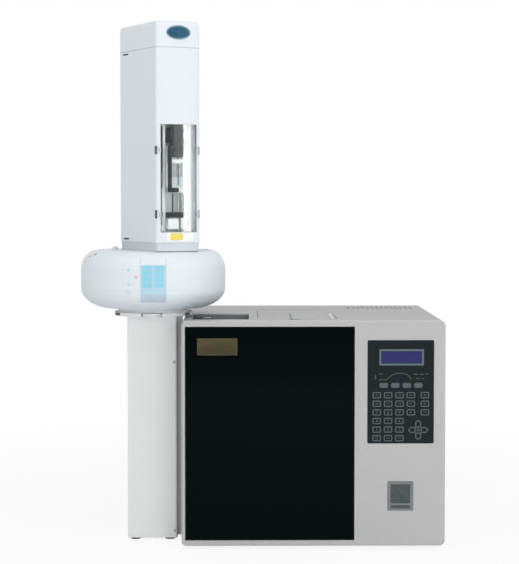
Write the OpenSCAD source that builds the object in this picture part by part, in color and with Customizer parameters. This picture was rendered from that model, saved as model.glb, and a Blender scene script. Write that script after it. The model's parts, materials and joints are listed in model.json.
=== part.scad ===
/* [Chromatograph housing] */
// Width across the side panels
housing_w = 550; // [546:1:580]
// Depth from the fascia to the rear panel
housing_d = 500; // [490:5:560]
// Height of the housing above its feet
housing_h = 471; // [468:1:490]
// Height of the rubber feet
foot_h = 8; // [6:1:12]
// Radius of the housing's long edges
corner_r = 10; // [6:1:10]
// Thickness of the sheet metal
sheet_t = 1.5; // [1:0.25:1.5]
// Depth of the moulded front bezel
bezel_d = 20; // [18:1:22]

/* [Oven] */
// Width of the oven door
door_w = 349; // [345:1:350]
// Height of the oven door
door_h = 443.5; // [438:0.5:444]
// Gap round the oven door
door_gap = 2.2; // [2.2:0.1:2.5]
// Width of the oven chamber
oven_w = 294; // [280:2:296]
// Height of the oven chamber
oven_h = 290; // [270:5:300]
// Depth of the oven chamber
oven_d = 214; // [206:2:226]
// Radius of the oven fan
fan_r = 80; // [60:1:84]
// Number of fan blades
blade_count = 10; // [6:1:14]
// Radius of the capillary column's coil
column_r = 88; // [75:1:92]

/* [Control panel] */
// Width of the membrane keypad
panel_w = 138; // [136:1:142]
// Height of the membrane keypad
panel_h = 215.4; // [214:0.2:220]
// Spacing of the key columns
key_pitch_x = 23.7; // [21:0.1:23.7]
// Spacing of the key rows
key_pitch_z = 18; // [16:0.5:18]

/* [Sampler] */
// Radius of the carousel drum
drum_r = 156; // [154:1:162]
// Height of the carousel drum
drum_h = 125; // [125:1:135]
// Number of vials in the carousel
vial_count = 40; // [20:4:40]
// Radius of the vial circle
vial_ring_r = 116; // [114:0.5:117]
// Radius of the mounting disc
disc_r = 84; // [80:1:88]
// Width of the pedestal column
pedestal_w = 106; // [100:2:110]
// Depth of the pedestal column
pedestal_d = 120; // [110:5:140]

/* [Tower] */
// Height of the tower body below its cap
tower_h = 408; // [408:2:440]
// Height of the tower cap
cap_h = 55; // [50:1:70]
// Thickness of the tower's walls
tower_wall = 3; // [2.5:0.5:3.5]
// Angle of the tower's face to the front
tower_yaw = 28; // [0:1:30]
// Length of the syringe's glass barrel
barrel_len = 59; // [50:1:59]

/* [Hidden] */
$fn = 48;

// Vertical levels of the housing
base_z = foot_h;
roof_z = foot_h + housing_h;
slip = 0.3;
run_fit = 0.05;

// The sampler stands on the left of the housing, with its axis here
drum_x = -66;
drum_y = 170;
disc_z = roof_z + 2;
disc_t = 8;
hub_t = 8;
drum_z = disc_z + disc_t + hub_t;
drum_top = drum_z + drum_h;
drum_wall = 3;
top_round = [36, 42];
low_round = [64, 44];
split_z = drum_z + low_round[1];
post_r = 22;

// The tower's own frame has its origin on the drum's axis and faces -Y
tower_z = drum_top + 18;
tower_top = tower_z + tower_h;
tower_half = 51;
tower_back = 65;
tower_front = 131.5;
face_r = 205;
edge_r = 6;
back_r = 10;
window_half = 42;
window_z0 = tower_z + 22;
window_z1 = tower_z + 248;
seam_y = -112;

// Syringe line and guide rods in the tower's frame
syringe_x = 4;
syringe_y = -116;
rod_x = [-17, 25];
rod_y = -92;
rod_r = 3.5;
plate_y = -74;
foot_z = tower_z + 105;
drive_z = tower_z + 180;

// The origin is under the middle of the whole outline
rear_reach = 22;
screw_h = 2;
display_proud = 1.2;
left_reach = drum_r - drum_x;
origin_x = (housing_w + screw_h - left_reach) / 2;
origin_y = (housing_d + rear_reach - display_proud) / 2;

// Oven door and its hinge line
door_x = 9.6;
door_z = 21.7;
hinge_x = door_x + 7;
hinge_y = 7;
pin_r = 2.5;
glass_t = 2.5;
door_back = 40;
flange_y = 46.3;

// Oven chamber, as its lowest corner and its far corner
oven_lo = [36, flange_y + sheet_t, 95];
oven_hi = oven_lo + [oven_w, oven_d, oven_h];
wool_t = 26;
fan_x = (oven_lo[0] + oven_hi[0]) / 2;
fan_z = (oven_lo[2] + oven_hi[2]) / 2;
shroud_y = oven_hi[1] - 36;
shaft_r = 4;

// Roof bays
bay_z = oven_hi[2] + sheet_t + wool_t;
injector_bay = [[20, 50], [141, 208]];
detector_bay = [[161, 50], [312, 350]];
detector_at = [236, 130];
lid_t = 10;
lid_pin_y = detector_bay[1][1] - lid_t / 2 - slip;
lid_pin_z = roof_z - lid_t / 2;

// Exhaust duct at the back of the oven
duct = [[133, 300], [233, 370]];
duct_end = housing_d + 12;
flap_pin = [duct_end + 1.25, duct[1][1] + 7];

// Control panel places, in X and Z
panel_lo = [387.5, 223.4];
panel_hi = panel_lo + [panel_w, panel_h];
display_lo = [411.6, 386.2];
display_hi = [504.4, 420.3];
key_x0 = 406.6;
key_z0 = 324.4;
cursor_x = 493.1;
cursor_z = 251.5;

// Rear services, in X and Z
inlet_lo = [450, 30];
inlet_hi = [514, 58];
rocker_x = [488.5, 502.5];
rocker_z = 44;
gas_x = [300, 326, 352, 378];
gas_z = 70;

// Hinge blocks let into the bezel below and above the door
hinge_blocks = [
    [[door_x, 3, base_z + 5], [door_x + 16, bezel_d, door_z - 2]],
    [[door_x, 3, door_z + door_h + 2], [door_x + 16, bezel_d, door_z + door_h + 8]]
];

// Sampler stand
pad_h = 4;
pedestal_hi = [-13, drum_y + pedestal_d / 2];
pedestal_lo = pedestal_hi - [pedestal_w, pedestal_d];
wheel_r = 21;
wheel_y = -67;

// Carousel drive
rotor_z = drum_z + 69;
gear_teeth = 90;
pinion_teeth = 18;
gear_r = gear_teeth;
pinion_r = pinion_teeth;
pinion_angle = 120;
swivel = 63;
vial_angle = tower_yaw + atan2(syringe_y, syringe_x);
injector_at = [drum_x, drum_y] + vial_ring_r * [cos(vial_angle + swivel), sin(vial_angle + swivel)];
hatch_x = 84;
hatch_z = drum_top - 24;

// Clips of the tower's window door
clip_x = -47.5;
clip_y = -128.6;
clip_z = [tower_z + 60, tower_z + 194];
slim_x = [syringe_x - 13, syringe_x + 13];

// Points of an arc round a centre, from one angle to another
function arc(c, r, a0, a1, n = 6) =
    [for (i = [0:n]) c + r * [cos(a0 + (a1 - a0) * i / n), sin(a0 + (a1 - a0) * i / n)]];

// Quarter of an ellipse from angle a0 to a1
function oval(c, r, a0, a1, n = 10) =
    [for (i = [0:n]) c + [r[0] * cos(a0 + (a1 - a0) * i / n), r[1] * sin(a0 + (a1 - a0) * i / n)]];

// Outline of a rectangle with round corners, from its low corner to its high one
function soft_rect(lo, hi, r, n = 5) = concat(
    arc([hi[0] - r, lo[1] + r], r, 270, 360, n), arc([hi[0] - r, hi[1] - r], r, 0, 90, n),
    arc([lo[0] + r, hi[1] - r], r, 90, 180, n), arc([lo[0] + r, lo[1] + r], r, 180, 270, n));

// Outline of the tower, drawn in by s all round, with a bowed face
function tower_points(s) =
    let (mid = [0, face_r - tower_front],
         lean = asin((tower_half - edge_r) / (face_r - edge_r)),
         tip = mid[1] - (face_r - edge_r) * cos(lean))
    concat(
        arc([tower_half - back_r, tower_back - back_r], back_r - s, 0, 90),
        arc([back_r - tower_half, tower_back - back_r], back_r - s, 90, 180),
        arc([edge_r - tower_half, tip], edge_r - s, 180, 270 - lean),
        arc(mid, face_r - s, 270 - lean, 270 + lean, 10),
        arc([tower_half - edge_r, tip], edge_r - s, 270 + lean, 360));

// Outer line of the drum from its foot to its top, drawn in by s
function drum_low(s) = oval([drum_r - low_round[0], split_z], low_round - [s, s], 270, 360);
function drum_high(s) =
    oval([drum_r - top_round[0], drum_top - top_round[1]], top_round - [s, s], 0, 90);

// Outline of a spur gear with straight-sided teeth
function gear_points(teeth, pitch_r, addendum, dedendum) =
    [for (i = [0:teeth - 1], k = [[-0.34, -1], [-0.14, 1], [0.14, 1], [0.34, -1]])
        let (a = 360 * (i + k[0]) / teeth, r = pitch_r + (k[1] > 0 ? addendum : -dedendum))
        [r * cos(a), r * sin(a)]];

// Places a shape drawn from the housing's lower left front corner
module placed() translate([-origin_x, -origin_y, 0]) children();

// Places a shape drawn round the drum's axis
module on_drum() placed() translate([drum_x, drum_y, 0]) children();

// Places a shape drawn in the tower's frame
module on_tower() on_drum() rotate([0, 0, tower_yaw]) children();

// A plate drawn as seen from the front, in X and Z
module front_plate(y0, y1) translate([0, y1, 0]) rotate([90, 0, 0]) linear_extrude(y1 - y0) children();

// A plate drawn as seen from the right, in Y and Z
module side_plate(x0, x1) translate([x0, 0, 0]) rotate([90, 0, 90]) linear_extrude(x1 - x0) children();

// A plate drawn as seen from above
module flat_plate(z0, z1) translate([0, 0, z0]) linear_extrude(z1 - z0) children();

// A box from one corner to the other
module block(lo, hi) translate(lo) cube(hi - lo);

// A round bar along Z, Y or X from a point
module bar_z(at, r, h) translate(at) cylinder(r = r, h = h);
module bar_y(at, r, h) translate(at) rotate([-90, 0, 0]) cylinder(r = r, h = h);
module bar_x(at, r, h) translate(at) rotate([0, 90, 0]) cylinder(r = r, h = h);

// A rectangle from one corner to the other, flat
module rect(lo, hi) translate(lo) square(hi - lo);

// A row of upright slots in a flat drawing
module slot_row(x0, z0, count, pitch, w, h) {
    for (i = [0:count - 1]) rect([x0 + i * pitch, z0], [x0 + i * pitch + w, z0 + h]);
}

// ---- Housing ----

module base_tray() {
    color("silver") placed() {
        difference() {
            block([sheet_t, bezel_d, base_z], [housing_w - sheet_t, housing_d - sheet_t, base_z + 12]);
            block([2 * sheet_t, bezel_d + sheet_t, base_z + sheet_t],
                  [housing_w - 2 * sheet_t, housing_d - 2 * sheet_t, base_z + 13]);
            for (row = [0:3])
                for (i = [0:9])
                    translate([390 + i * 13, 330 + row * 30, base_z - 1]) cube([5, 22, 6]);
        }
    }
}

module bezel_outline(s) {
    polygon(soft_rect([s, base_z + s], [housing_w - s, roof_z - s], corner_r - s));
}

module front_bezel() {
    lip = 3;
    color("gainsboro") placed() difference() {
        union() {
            hull() {
                front_plate(lip, lip + 1) bezel_outline(0);
                front_plate(0.8, 1) bezel_outline(1);
                front_plate(0, 0.1) bezel_outline(lip);
            }
            front_plate(lip, bezel_d) bezel_outline(0);
        }
        block([door_x - door_gap, -1, door_z - 2],
              [door_x + door_w + door_gap, bezel_d + 1, door_z + door_h + 2]);
        front_plate(-1, 0.6) polygon(soft_rect(panel_lo - [0.3, 0.3], panel_hi + [0.3, 0.3], 3.3));
        for (side = hinge_blocks) block(side[0], side[1]);
        block([door_x + door_w + 12, 4, base_z + 10], [housing_w - 10, bezel_d + 1, roof_z - 10]);
    }
}

module left_side_panel() {
    color("lightgray") placed() {
        difference() {
            side_plate(0, sheet_t) rect([bezel_d, base_z], [housing_d, roof_z - corner_r]);
            for (i = [0:6]) block([-1, 400 + i * 12, 300], [2, 406 + i * 12, 400]);
        }
        block([sheet_t, housing_d - 14, base_z + 14], [2 * sheet_t, housing_d - 2, roof_z - corner_r]);
    }
}

module right_side_panel() {
    color("lightgray") placed() {
        difference() {
            side_plate(housing_w - sheet_t, housing_w)
                rect([bezel_d, base_z], [housing_d, roof_z - corner_r]);
            for (row = [0:2])
                for (i = [0:11])
                    translate([housing_w - 2, 250 + i * 16, 60 + row * 60]) cube([3, 6, 40]);
        }
        block([housing_w - 2 * sheet_t, housing_d - 14, base_z + 14],
              [housing_w - sheet_t, housing_d - 2, roof_z - corner_r]);
    }
}

// The roof sheet wraps over both long edges and has a turned-down rim round each bay
module top_cover() {
    r = corner_r;
    t = sheet_t;
    outer = concat(arc([r, roof_z - r], r, 180, 90), arc([housing_w - r, roof_z - r], r, 90, 0));
    inner = concat(arc([housing_w - r, roof_z - r], r - t, 0, 90), arc([r, roof_z - r], r - t, 90, 180));
    color("darkgray") placed() difference() {
        union() {
            front_plate(bezel_d, housing_d) polygon(concat(outer, inner));
            for (bay = [injector_bay, detector_bay])
                flat_plate(roof_z - 12, roof_z - t) difference() {
                    rect(bay[0] - [3, 3], bay[1] + [3, 3]);
                    rect(bay[0], bay[1]);
                }
        }
        for (bay = [injector_bay, detector_bay])
            block([bay[0][0], bay[0][1], roof_z - 5], [bay[1][0], bay[1][1], roof_z + 1]);
        bar_x([detector_bay[0][0] - 5, lid_pin_y, lid_pin_z], 2 + run_fit,
              detector_bay[1][0] - detector_bay[0][0] + 10);
        for (i = [0:13]) block([370 + i * 11, 380, roof_z - 3], [375 + i * 11, 440, roof_z + 1]);
        block([222, detector_bay[0][1] - 9, roof_z - 3], [250, detector_bay[0][1] + 1, roof_z + 1]);
    }
}

module rear_panel() {
    color("lightgray") placed() front_plate(housing_d - sheet_t, housing_d) difference() {
        rect([2 * sheet_t, base_z + 12], [housing_w - 2 * sheet_t, roof_z - 12]);
        rect(duct[0] - [0.5, 0.5], duct[1] + [0.5, 0.5]);
        rect(inlet_lo + [3, 3], inlet_hi - [3, 3]);
        for (row = [0:2]) slot_row(400, 120 + row * 40, 10, 12, 5, 28);
        for (x = gas_x) translate([x, gas_z]) circle(r = 6);
    }
}

module rubber_feet() {
    color("dimgray") placed() {
        for (x = [60, housing_w - 60], y = [65, housing_d - 60]) bar_z([x, y, 0], 18, foot_h);
        for (x = [pedestal_lo[0] + 16, pedestal_hi[0] - 16], y = [pedestal_lo[1] + 16, pedestal_hi[1] - 16])
            bar_z([x, y, 0], 11, pad_h);
    }
}

module panel_screws() {
    color("gray") placed() {
        for (z = [60, 240, 420])
            bar_x([-screw_h, bezel_d + 14, z], 3.5, screw_h);
        for (z = [60, 240, 420])
            bar_x([housing_w, bezel_d + 14, z], 3.5, screw_h);
        for (x = [30, 210, 340, 520], z = [base_z + 20, roof_z - 20])
            bar_y([x, housing_d, z], 3.5, screw_h);
    }
}

// ---- Oven ----

module oven_insulation() {
    lo = oven_lo - [wool_t + sheet_t, -0.2, wool_t + sheet_t];
    hi = oven_hi + [wool_t + sheet_t, wool_t + sheet_t, wool_t + sheet_t];
    color("khaki") placed() difference() {
        block(lo, hi);
        block(oven_lo - [sheet_t, 5, sheet_t], oven_hi + [sheet_t, sheet_t, sheet_t]);
        bar_y([fan_x, oven_hi[1], fan_z], shaft_r + 4, wool_t + 5);
        block([duct[0][0], oven_hi[1], duct[0][1]], [duct[1][0], hi[1] + 1, duct[1][1]]);
        for (at = [injector_at, detector_at]) bar_z([at[0], at[1], oven_hi[2]], 8.5, wool_t + 5);
    }
}

module oven_liner() {
    t = sheet_t;
    color("gainsboro") placed() difference() {
        union() {
            block([oven_lo[0] - t, flange_y, oven_lo[2] - t], oven_hi + [t, t, t]);
            front_plate(flange_y, oven_lo[1]) rect([4, 20], [door_x + door_w + 8, door_z + door_h]);
        }
        block(oven_lo - [0, 10, 0], oven_hi);
        bar_y([fan_x, oven_hi[1] - 1, fan_z], shaft_r + 4, 5);
        block([duct[0][0] + 2, oven_hi[1] - 1, duct[0][1] + 2],
              [duct[1][0] - 2, oven_hi[1] + 3, duct[1][1] - 2]);
        for (at = [injector_at, detector_at]) bar_z([at[0], at[1], oven_hi[2] - 1], 8.5, 5);
    }
}

// Pressed shroud with a ring of swept slots in front of the fan
module fan_shroud() {
    margin = 8;
    color("silver") placed() {
        front_plate(shroud_y, shroud_y + sheet_t) difference() {
            rect([oven_lo[0] + margin, oven_lo[2] + margin], [oven_hi[0] - margin, oven_hi[2] - margin]);
            translate([fan_x, fan_z]) for (i = [0:17]) rotate(i * 20) {
                translate([26, -2.5]) square([34, 5]);
                translate([68, 4]) square([22, 5]);
            }
        }
        for (x = [oven_lo[0] + 20, oven_hi[0] - 20], z = [oven_lo[2] + 20, oven_hi[2] - 20])
            bar_y([x, shroud_y + sheet_t, z], 4, oven_hi[1] - shroud_y - sheet_t);
    }
}

module heater_coil() {
    wire_r = 2.5;
    turn_r = fan_r + 12;
    color("darkslategray") placed() {
        for (y = [shroud_y + 10, shroud_y + 19])
            translate([fan_x, y, fan_z]) rotate([90, 0, 0])
                rotate_extrude() translate([turn_r, 0]) circle(wire_r);
        for (a = [45, 135, 225, 315])
            bar_y([fan_x + turn_r * cos(a), shroud_y + 4, fan_z + turn_r * sin(a)], 4,
                  oven_hi[1] - shroud_y - 4);
    }
}

module fan_motor() {
    y0 = oven_hi[1] + sheet_t + wool_t;
    color("dimgray") placed() difference() {
        union() {
            front_plate(y0, y0 + 3) translate([fan_x, fan_z]) square(96, center = true);
            bar_y([fan_x, y0 + 3, fan_z], 40, 46);
            bar_y([fan_x, y0 + 49, fan_z], 14, 8);
            for (i = [0:11]) translate([fan_x, y0 + 8, fan_z]) rotate([0, i * 30, 0])
                translate([38, 0, -1.5]) cube([6, 36, 3]);
        }
        bar_y([fan_x, y0 - 1, fan_z], shaft_r + run_fit, 42);
    }
}

// Backward-curved blades between a hub disc and a front ring, on the motor's shaft
module fan_impeller() {
    y0 = shroud_y + 6;
    depth = 20;
    color("silver") placed() {
        translate([fan_x, y0, fan_z]) rotate([-90, 0, 0]) {
            for (i = [0:blade_count - 1]) rotate([0, 0, i * 360 / blade_count])
                linear_extrude(depth)
                    polygon(concat(arc([26, -22], 42, 78, 32, 8), arc([26, -22], 40.5, 32, 78, 8)));
            translate([0, 0, depth]) cylinder(r = fan_r - 5, h = 1.5);
            difference() {
                cylinder(r = fan_r - 14, h = 1);
                translate([0, 0, -1]) cylinder(r = 34, h = 3);
            }
            cylinder(r = 12, h = depth);
            cylinder(r = shaft_r, h = oven_hi[1] + wool_t + 40 - y0);
        }
    }
}

// Wire cage that hangs from the oven's ceiling and carries the coil
module column_hanger() {
    y0 = oven_lo[1] + 72;
    color("silver") placed() {
        for (y = [y0, y0 + 22]) {
            front_plate(y, y + 2) translate([fan_x, fan_z]) difference() {
                circle(r = column_r - 4, $fn = 72);
                circle(r = column_r - 7, $fn = 72);
            }
            block([fan_x - 3, y, fan_z + column_r - 5], [fan_x + 3, y + 2, oven_hi[2]]);
        }
        for (a = [22.5:45:337.5])
            bar_y([fan_x + (column_r - 5.5) * cos(a), y0 + 2, fan_z + (column_r - 5.5) * sin(a)], 1.2, 20);
        block([fan_x - 8, y0, oven_hi[2] - 2], [fan_x + 8, y0 + 24, oven_hi[2]]);
    }
}

// Fused-silica column wound side by side round the cage
module capillary_column() {
    tube_r = 1;
    y0 = oven_lo[1] + 76.2;
    color("sienna") placed() for (i = [0:6])
        translate([fan_x, y0 + i * 2.6, fan_z]) rotate([90, 0, 0])
            rotate_extrude($fn = 64) translate([column_r - 2.5, 0]) circle(tube_r, $fn = 16);
}

// Split injector: septum nut, cooled tower, heater block and oven fitting
module injector() {
    x = injector_at[0];
    y = injector_at[1];
    color("silver") placed() {
        difference() {
            union() {
                bar_z([x, y, bay_z + sheet_t + 40], 12, 14);
                for (i = [0:2]) bar_z([x, y, bay_z + sheet_t + 42 + i * 4], 16, 1.5);
                translate([x, y, bay_z + sheet_t + 54]) cylinder(r = 10, h = 6, $fn = 6);
            }
            bar_z([x, y, bay_z + 30], 1.2, 60);
        }
        block([x - 20, y - 20, bay_z + sheet_t], [x + 20, y + 20, bay_z + sheet_t + 40]);
        bar_z([x, y, oven_hi[2] - 14], 8, wool_t + 17);
        translate([x, y, oven_hi[2] - 24]) cylinder(r = 6, h = 10, $fn = 6);
        for (dx = [-8, 8]) bar_y([x + dx, y + 20, bay_z + 20], 1.6, injector_bay[1][1] - y - 20);
    }
}

// Folded tray that makes the walls and floor of both roof bays
module bay_tray() {
    t = sheet_t;
    color("dimgray") placed() difference() {
        union() for (bay = [injector_bay, detector_bay])
            block([bay[0][0] - t, bay[0][1] - t, bay_z], [bay[1][0] + t, bay[1][1] + t, roof_z - 12]);
        for (bay = [injector_bay, detector_bay])
            block([bay[0][0], bay[0][1], bay_z + t], [bay[1][0], bay[1][1], roof_z]);
        for (at = [injector_at, detector_at]) bar_z([at[0], at[1], bay_z - 1], 8.5, 5);
    }
}

// Flame detector with its collector, igniter and gas lines
module detector() {
    x = detector_at[0];
    y = detector_at[1];
    z = bay_z + sheet_t;
    color("darkgray") placed() {
        difference() {
            union() {
                bar_z([x, y, z + 22], 14, 18);
                bar_z([x, y, z + 40], 11, 7);
            }
            bar_z([x, y, z + 26], 7, 30);
        }
        block([x - 22, y - 22, z], [x + 22, y + 22, z + 22]);
        bar_z([x, y, oven_hi[2] - 14], 8, wool_t + 17);
        bar_y([x, y + 14, z + 32], 4, 30);
        for (dx = [-14, 0, 14]) bar_y([x + dx, y + 22, z + 10], 1.6, 26);
    }
}

// ---- Oven door ----

module door_shell() {
    color("dimgray") placed() difference() {
        flat_plate(door_z, door_z + door_h)
            polygon([[door_x, glass_t], [door_x + door_w, glass_t], [door_x + door_w, door_back],
                     [door_x, door_back]]);
        block([door_x + 15, glass_t + 6, door_z + 15],
              [door_x + door_w - 2, door_back + 1, door_z + door_h - 15]);
        for (z = [door_z - 1, door_z + door_h - 10.5])
            bar_z([hinge_x, hinge_y, z], pin_r + run_fit, 11.5);
    }
}

// Glossy front plate with rolled left edge
module door_glass() {
    r = glass_t;
    color("black") placed() flat_plate(door_z, door_z + door_h)
        polygon(concat([[door_x + door_w, r], [door_x, r]], arc([door_x + r, r], r, 180, 270),
                       [[door_x + door_w - 1, 0], [door_x + door_w, 1]]));
}

module door_insulation() {
    color("khaki") placed() block([door_x + 15.5, glass_t + 6.5, door_z + 15.5],
                                  [door_x + door_w - 2.5, door_back, door_z + door_h - 15.5]);
}

// Inner sheet with a raised field that plugs the oven's mouth
module door_liner() {
    side = 14;
    color("gainsboro") placed() {
        block([door_x + 1, door_back, door_z + 1],
              [door_x + door_w - 1, door_back + sheet_t, door_z + door_h - 1]);
        hull() {
            front_plate(door_back + sheet_t, door_back + sheet_t + 0.5)
                rect([oven_lo[0] + side, oven_lo[2] + side], [oven_hi[0] - side, oven_hi[2] - side]);
            front_plate(door_back + 11, door_back + 12)
                rect([oven_lo[0] + side + 5, oven_lo[2] + side + 5],
                     [oven_hi[0] - side - 5, oven_hi[2] - side - 5]);
        }
    }
}

module door_gasket() {
    y0 = door_back + sheet_t;
    color("white") placed() front_plate(y0, flange_y - slip) difference() {
        polygon(soft_rect([oven_lo[0] - 14, oven_lo[2] - 14], [oven_hi[0] + 12, oven_hi[2] + 14], 14));
        polygon(soft_rect([oven_lo[0] - 5, oven_lo[2] - 5], [oven_hi[0] + 3, oven_hi[2] + 5], 6));
    }
}

module hinge_pins() {
    color("gray") placed() {
        for (side = hinge_blocks) block(side[0], side[1]);
        bar_z([hinge_x, hinge_y, hinge_blocks[0][1][2]], pin_r, door_z + 9.5 - hinge_blocks[0][1][2]);
        bar_z([hinge_x, hinge_y, door_z + door_h - 9.5], pin_r,
              hinge_blocks[1][0][2] - door_z - door_h + 9.5);
    }
}

module door_catch() {
    color("gray") placed() for (z = [door_z + 60, door_z + door_h - 60])
        bar_y([door_x + door_w - 8, door_back + sheet_t + slip, z], 5, flange_y - door_back - sheet_t - slip);
}

// ---- Control panel and services ----

module key_cap(x, z, w, h) {
    front_plate(-1, -0.5) translate([x, z]) square([w, h], center = true);
}

// Membrane sheet with raised keys: function row, ramp table keys, digits and cursor cross
module keypad_membrane() {
    key = [17.5, 13];
    color("black") placed() {
        front_plate(-0.5, 0.6) difference() {
            polygon(soft_rect(panel_lo, panel_hi, 3));
            polygon(soft_rect(display_lo, display_hi, 2));
        }
        for (i = [0:3]) key_cap(key_x0 + 14.5 + i * 24, key_z0 + 20.4, key[0], 10.5);
        for (row = [0:5])
            for (col = [0:row < 3 ? 3 : 2])
                key_cap(key_x0 + col * key_pitch_x, key_z0 - row * key_pitch_z, key[0], key[1]);
        for (row = [0:2]) key_cap(key_x0 + 100.3, key_z0 - row * key_pitch_z, key[0], key[1]);
        for (a = [0:90:270]) front_plate(-1, -0.5) translate([cursor_x, cursor_z]) rotate(a)
            polygon([[4, -4.5], [11, -4.5], [15.2, 0], [11, 4.5], [4, 4.5]]);
    }
}

module display_bezel() {
    color("silver") placed() front_plate(-display_proud, 0.6) difference() {
        polygon(soft_rect(display_lo, display_hi, 2));
        polygon(soft_rect(display_lo + [4, 4], display_hi - [4, 4], 1));
    }
}

module display_window() {
    color("darkslateblue") placed() front_plate(-0.2, 0.6)
        polygon(soft_rect(display_lo + [4, 4], display_hi - [4, 4], 1));
}

module control_board() {
    y0 = bezel_d + 6;
    color("darkgreen") placed() {
        block([385, y0, 60], [530, y0 + 1.6, 445]);
        for (row = [0:4])
            for (col = [0:2])
                block([400 + col * 42, y0 + 1.6, 80 + row * 66], [424 + col * 42, y0 + 5.6, 104 + row * 66]);
        for (x = [395, 520], z = [70, 435]) bar_y([x, 4, z], 4, y0 - 4);
    }
}

module power_supply() {
    color("silver") placed() difference() {
        block([400, 330, base_z + 12.2], [530, 440, base_z + 92]);
        for (i = [0:9]) block([410 + i * 12, 329, base_z + 25], [415 + i * 12, 332, base_z + 75]);
    }
    color("silver") placed() for (x = [410, 520], y = [340, 430]) bar_z([x, y, base_z + sheet_t], 5, 10.7);
}

module gas_manifold() {
    color("darkgray") placed() {
        block([gas_x[0] - 14, housing_d - 50, gas_z - 14], [gas_x[3] + 14, housing_d - 12, gas_z + 14]);
        for (x = gas_x) bar_y([x, housing_d - 12, gas_z], 5.9, 12);
    }
}

// Bulkhead unions: hex nut, body and tube stub, each bored through
module gas_fittings() {
    color("goldenrod") placed() for (x = gas_x) difference() {
        union() {
            translate([x, housing_d, gas_z]) rotate([-90, 0, 0]) cylinder(r = 9, h = 5, $fn = 6);
            bar_y([x, housing_d + 5, gas_z], 5.5, 6);
            translate([x, housing_d + 11, gas_z]) rotate([-90, 0, 0]) cylinder(r = 7, h = 6, $fn = 6);
            bar_y([x, housing_d + 17, gas_z], 4, rear_reach - 17);
        }
        bar_y([x, housing_d + 6, gas_z], 1.6, rear_reach);
    }
}

module mains_inlet() {
    color("dimgray") placed() {
        difference() {
            union() {
                block([inlet_lo[0], housing_d, inlet_lo[1]], [inlet_hi[0], housing_d + 3, inlet_hi[1]]);
                block([inlet_lo[0] + 4, housing_d - 26, inlet_lo[1] + 4],
                      [inlet_hi[0] - 4, housing_d, inlet_hi[1] - 4]);
            }
            block([inlet_lo[0] + 7, housing_d - 16, inlet_lo[1] + 6],
                  [inlet_lo[0] + 31.5, housing_d + 4, inlet_lo[1] + 22]);
            block([rocker_x[0] - slip, housing_d - 16, rocker_z - 11.5],
                  [rocker_x[1] + slip, housing_d + 4, rocker_z + 11.5]);
        }
        for (dx = [-7, 0, 7])
            block([inlet_lo[0] + 18.25 + dx, housing_d - 16, inlet_lo[1] + (dx == 0 ? 14 : 10)],
                  [inlet_lo[0] + 20.25 + dx, housing_d - 2, inlet_lo[1] + (dx == 0 ? 18 : 14)]);
        bar_x([rocker_x[0] - slip, housing_d - 5, rocker_z], 1.5, rocker_x[1] - rocker_x[0] + 2 * slip);
    }
}

// Two-sided switch key that tilts on the pin across its well
module power_rocker() {
    color("black") placed() translate([0, housing_d - 5, rocker_z]) rotate([-10, 0, 0]) difference() {
        side_plate(rocker_x[0], rocker_x[1])
            polygon([[-5, -4], [0, -10.3], [7, -9.8], [5.6, 0], [7, 9.8], [0, 10.3], [-5, 4]]);
        bar_x([rocker_x[0] - 1, 0, 0], 1.5 + run_fit, rocker_x[1] - rocker_x[0] + 2);
    }
}

module exhaust_duct() {
    y0 = oven_hi[1] + sheet_t;
    color("silver") placed() {
        front_plate(y0, duct_end) difference() {
            rect(duct[0], duct[1]);
            rect(duct[0] + [2, 2], duct[1] - [2, 2]);
        }
        for (x = [duct[0][0] - 1, duct[1][0] - 5])
            difference() {
                block([x, duct_end - 8, duct[1][1]], [x + 6, flap_pin[0] + 3, flap_pin[1] + 3]);
                block([x - 1, duct_end - slip, duct[1][1] - 1], [x + 7, flap_pin[0] + 4, flap_pin[1] - 3]);
            }
        bar_x([duct[0][0] - 1, flap_pin[0], flap_pin[1]], 1.5, duct[1][0] - duct[0][0] + 2);
    }
}

module exhaust_flap() {
    x0 = duct[0][0] + 5 + slip;
    x1 = duct[1][0] - 5 - slip;
    color("darkgray") placed() difference() {
        union() {
            block([duct[0][0] - 2, duct_end + 0.5, duct[0][1] - 3],
                  [duct[1][0] + 2, duct_end + 2, duct[1][1] - 1]);
            block([x0, duct_end + 0.5, duct[1][1] - 1], [x1, duct_end + 2, flap_pin[1]]);
            bar_x([x0, flap_pin[0], flap_pin[1]], 3, x1 - x0);
        }
        bar_x([x0 - 1, flap_pin[0], flap_pin[1]], 1.5 + run_fit, x1 - x0 + 2);
    }
}

// Roof lid over the detector, hollow below, with a finger scoop and two pivot pins
module detector_lid() {
    lo = detector_bay[0] + [slip, 0.5];
    hi = [detector_bay[1][0] - slip, lid_pin_y];
    t = 2;
    color("darkgray") placed() {
        difference() {
            union() {
                block([lo[0], lo[1], roof_z - lid_t], [hi[0], hi[1], roof_z]);
                bar_x([lo[0], lid_pin_y, lid_pin_z], lid_t / 2, hi[0] - lo[0]);
            }
            block([lo[0] + t, lo[1] + t, roof_z - lid_t - 1], [hi[0] - t, hi[1] - 8, roof_z - t]);
            bar_z([(222 + 250) / 2, lo[1] - 4, roof_z - lid_t - 1], 14, lid_t + 2);
        }
        bar_x([lo[0] - 2.5, lid_pin_y, lid_pin_z], 2, hi[0] - lo[0] + 5);
    }
}

// ---- Sampler stand ----

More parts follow.
